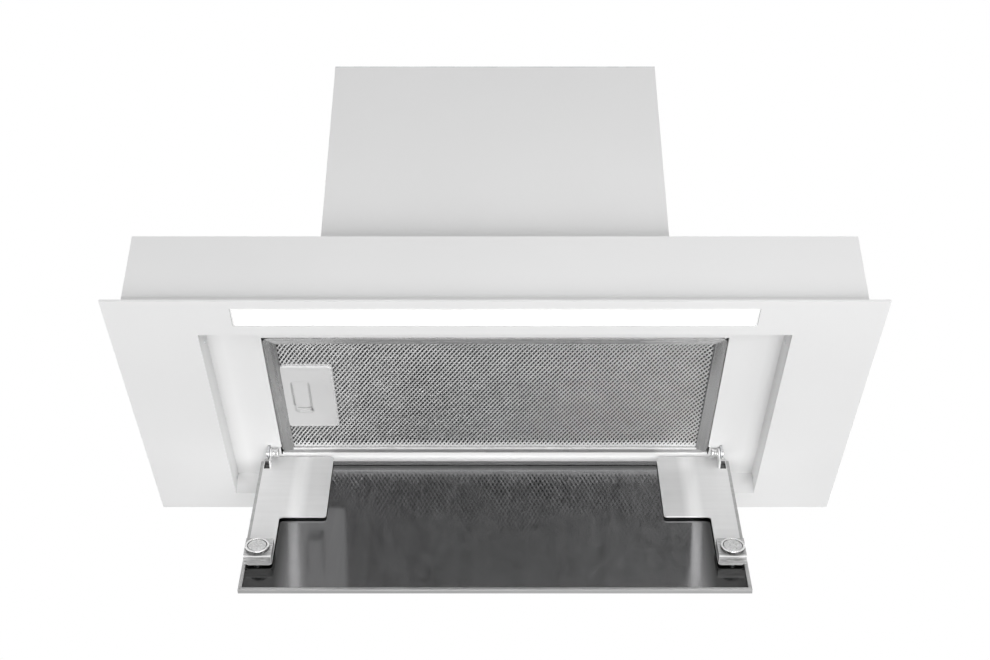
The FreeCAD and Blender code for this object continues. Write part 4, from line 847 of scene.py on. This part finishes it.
screwSet = {"head": 3.6, "height": 1.8, "crown": (0.93, 12), "domed": 0.75, "shank": 1.9, "tip": 0.5,
            "slot": (0.4125, 0.6875), "reach": (1.9, 2.4), "deep": 1.0, "sides": 48}
screwPlaces = {
    "lid_screws": ("z", 278.0, 6.0, (-133, 133), (-88, 0, 88)),
    "back_screws": ("y", 125.0, 6.0, (-133, 133), (103.25, 173.25, 243.25)),
    "blower_screws": ("z", 278.0, 4.0, (-66, 66), (-45, 45)),
    "collar_screws": ("z", 281.0, 6.0, (-77.05, 77.05), (-28.05, 28.05)),
}


def buildScrews(node, s, axis, seat, length, columns, rows):
    # Head height over its radius is a flattened dome; where |x| or |y| is under half a slot it drops by a
    # cross recess that fades at the arm ends. Below the seat a plain shank closes the shell.
    share, count = s["crown"]
    radius = np.concatenate([np.linspace(0, s["head"] * share, count), [s["head"], s["head"]]])
    turn = np.arange(s["sides"]) * (2 * np.pi / s["sides"])
    r, t = np.meshgrid(radius, turn, indexing="ij")
    x, y = r * np.cos(t), r * np.sin(t)
    dome = s["height"] * np.sqrt(np.clip(1 - (r / s["head"]) ** 2 * s["domed"], 0, 1))
    dome[-1] = 0
    cross = (1 - ramp(np.minimum(np.abs(x), np.abs(y)), *s["slot"])) * (1 - ramp(r, *s["reach"]))
    top = np.stack([x, y, dome - s["deep"] * cross], -1)
    low = np.array([(s["shank"], 0), (s["shank"], s["tip"] - length), (s["shank"] - s["tip"], -length),
                    (0, -length)])
    across, up = low[:, :1] * np.cos(turn), low[:, :1] * np.sin(turn)
    shape = np.concatenate([top, np.stack([across, up, np.broadcast_to(low[:, 1:], across.shape)], -1)])
    order = {"z": (0, 1, 2), "y": (0, 2, 1)}[axis]
    seats = np.array([(a, b, seat) for a in columns for b in rows])[:, order]
    points = shape[..., order][None] + seats[:, None, None]
    piece = pieceFromArrays(node.replace("_s", "S"), points, copiedQuads(*points.shape[:3]), 35)
    return standFor(piece, node)


for label, setting in screwPlaces.items():
    buildScrews(label, screwSet, *setting)

rivetSet = {"head": 1.7, "height": 0.6, "shank": 1.2, "side": 230.3, "tail": 233.3, "crown": 8, "sides": 24,
            "places": ((0, -80.5, 11.8), (0, 121.0, 11.8))}


def buildRivets(s):
    # domed heads on the recess walls, an arc from the seat to the crown, with the shank through the sheet
    turn = np.linspace(0, np.pi / 2, s["crown"])
    dome = np.stack([s["head"] * np.sin(turn), s["side"] - s["height"] * np.cos(turn)], -1)
    profile = np.concatenate([dome, [(s["shank"], s["side"]), (s["shank"], s["tail"]), (0, s["tail"])]])
    points = np.stack([turnedPoints(profile * (1, side), "x", s["places"], s["sides"]) for side in (-1, 1)])
    cells = copiedQuads(*points.shape[1:4])
    quads = np.concatenate([cells[:, ::-1], cells + points[0].size // 3])
    return pieceFromArrays("recessRivets", points, quads, 35)


rivets = standFor(buildRivets(rivetSet), "recess_rivets")
rivets.data.materials[0] = finishes["zinc_steel"]

glandSet = {"place": (-112.0, 98.0), "seat": 278.0, "top": 286.0, "head": 12.0, "shank": 8.0, "bore": 4.5,
            "low": 268.0, "lead": 0.6, "brim": 1.6, "step": 0.5, "cap": (2.0, 5.2), "dome": (2.4, 80, 8),
            "mouth": (1.2, 0.8), "flutes": 20, "flute": 0.55, "fluteFrom": (1.9, 1.6), "sides": 160}


def buildGland(s):
    # Gland body: a closed profile turned about z; round the cap the radius swings in and out for grip flutes
    bore, shank, head, low, seat, top = [s[part] for part in ("bore", "shank", "head", "low", "seat", "top")]
    cap, (capLow, capHigh), (dome, end, count) = head - s["step"], s["cap"], s["dome"]
    profile = np.concatenate([[(bore, low), (shank - s["lead"], low), (shank, low + s["lead"]), (shank, seat),
                               (head, seat), (head, seat + s["brim"]), (cap, seat + capLow),
                               (cap, seat + capHigh)],
                              arc((cap - dome, seat + capHigh), dome, 0, end, count),
                              [(bore + s["mouth"][0], top), (bore, top - s["mouth"][1])]])
    turn = np.arange(s["sides"]) * (2 * np.pi / s["sides"])
    above, within = s["fluteFrom"]
    fluted = (profile[:, 1] > seat + above) & (profile[:, 0] > head - within)
    r = profile[:, :1] - s["flute"] * fluted[:, None] * (0.5 + 0.5 * np.cos(turn * s["flutes"])) ** 3
    points = np.stack([s["place"][0] + r * np.cos(turn), s["place"][1] + r * np.sin(turn),
                       np.broadcast_to(profile[:, 1:], r.shape)], -1)
    return pieceFromArrays("cableGland", points, gridQuads(len(profile), s["sides"], True, True), 35)


standFor(buildGland(glandSet), "cable_gland")
print("screws, rivets and gland made")


# Camera at the photo's place, white surroundings and soft lamps.
cameraSet = {"place": (0.0, -1.1040, -0.7518), "pitch": 127.154, "lens": 58.545, "sensor": 36.0, "near": 0.01}
camera = bpy.data.cameras.new("camera")
camera.sensor_fit = "HORIZONTAL"
camera.sensor_width = cameraSet["sensor"]
camera.lens = cameraSet["lens"]
camera.clip_start = cameraSet["near"]
scene.camera = linked("camera", camera)
scene.camera.location = cameraSet["place"]
scene.camera.rotation_euler = (math.radians(cameraSet["pitch"]), 0, 0)

studioSet = {"ambient": 0.27, "paper": 1.0, "unlit": (0.0, -0.8, -0.6), "unlitLevel": 0.08,
             "unlitEdge": (0.86, 0.97)}
floorSet = {"height": -1.9, "reach": 6.0, "cells": 12, "grain": 60.0, "tones": (grey(0.65), grey(0.66)),
            "rough": 0.9, "glow": 0.42}


def seenDirectly(tree, path):
    # one where a camera, mirror or see-through ray arrives, zero for scattered light
    sharp = maths(tree, "MAXIMUM", path["Is Camera Ray"], path["Is Glossy Ray"])
    return maths(tree, "MAXIMUM", sharp, path["Is Transmission Ray"])


def buildWorld(s):
    # white to rays that see it directly, but for an unlit room in one direction that only mirrors show
    world = bpy.data.worlds.new("studio")
    world.use_nodes = True
    scene.world = world
    tree = world.node_tree
    tree.nodes.clear()
    path = addNode(tree, "LightPath").outputs
    outlook = addNode(tree, "TexCoord").outputs["Generated"]
    aim = maths(tree, "DOT_PRODUCT", outlook, s["unlit"], kind="VectorMath", result="Value")
    room = spread(tree, aim, s["paper"], s["unlitLevel"], *s["unlitEdge"])
    shine = maths(tree, "MAXIMUM", room, path["Is Camera Ray"])
    level = mixed(tree, seenDirectly(tree, path), s["ambient"], shine)
    glow = addNode(tree, "Background", {"Color": (1, 1, 1, 1), "Strength": level})
    addNode(tree, "OutputWorld", {0: glow.outputs[0]})


def buildFloor(s):
    # a flat grid, pale to the camera and in mirrors, without scattered light of its own
    span = np.linspace(-s["reach"], s["reach"], s["cells"] + 1)
    x, y = np.meshgrid(span, span, indexing="ij")
    points = np.stack([x, y, np.full(x.shape, s["height"])], -1).reshape(-1, 3)
    mesh = bpy.data.meshes.new("floor")
    mesh.from_pydata(points.tolist(), [], gridQuads(len(span), len(span))[:, ::-1].tolist())
    mat, tree, shader, place = startMaterial("paleFloor")
    grain = useGroup(tree, paintGrain, place, Grain=s["grain"])
    lift = maths(tree, "MULTIPLY", seenDirectly(tree, addNode(tree, "LightPath").outputs), s["glow"])
    feed(tree, shader, {"Base Color": blend(tree, grain["Tone"], *s["tones"]), "Roughness": s["rough"],
                        "Emission Color": (1, 1, 1, 1), "Emission Strength": lift})
    mesh.materials.append(mat)
    floor = linked("floor", mesh)


def addLamp(name, place, aim, size, power):
    lamp = bpy.data.lights.new(name, "AREA")
    lamp.shape = "RECTANGLE"
    lamp.size, lamp.size_y = size
    lamp.energy = power
    rig = linked(name, lamp)
    rig.location = place
    x, y, z = np.array(aim) - np.array(place)
    rig.rotation_euler = (math.atan2(math.hypot(x, y), -z), 0, math.atan2(y, x) - math.pi / 2)
    rig.visible_camera = False
    rig.visible_glossy = not name.endswith("Fill")


lamps = {
    "frontBox": ((0.0, -2.3, -0.1), (0, 0, 0.02), (1.6, 0.4), 2.6),
    "sideKey": ((1.1, -1.6, -0.9), (0, 0, 0.0), (1.2, 1.2), 12.3),
    "lowBox": ((0.05, -1.0, -1.6), (0, -0.1, 0), (1.3, 1.0), 19.6),
    "nearFill": ((0.0, -1.9, -1.3), (0, 0, 0), (1.6, 0.8), 6.8),
    "highFill": ((0.9, -1.7, 1.1), (0, 0, 0.2), (1.2, 1.2), 1.2),
    "backFill": ((0.0, 0.26, -0.16), (0, 0.1, 0.02), (0.36, 0.12), 0.28),
    "rearLeftFill": ((-2.1, 1.1, 1.0), (0, 0, 0.1), (1.4, 1.4), 19.0),
    "rearRightFill": ((1.6, 1.7, 1.1), (0, 0, 0.1), (1.4, 1.4), 17.0),
}
buildWorld(studioSet)
buildFloor(floorSet)
for label, setting in lamps.items():
    addLamp(label, *setting)
print("camera, floor and lamps set")
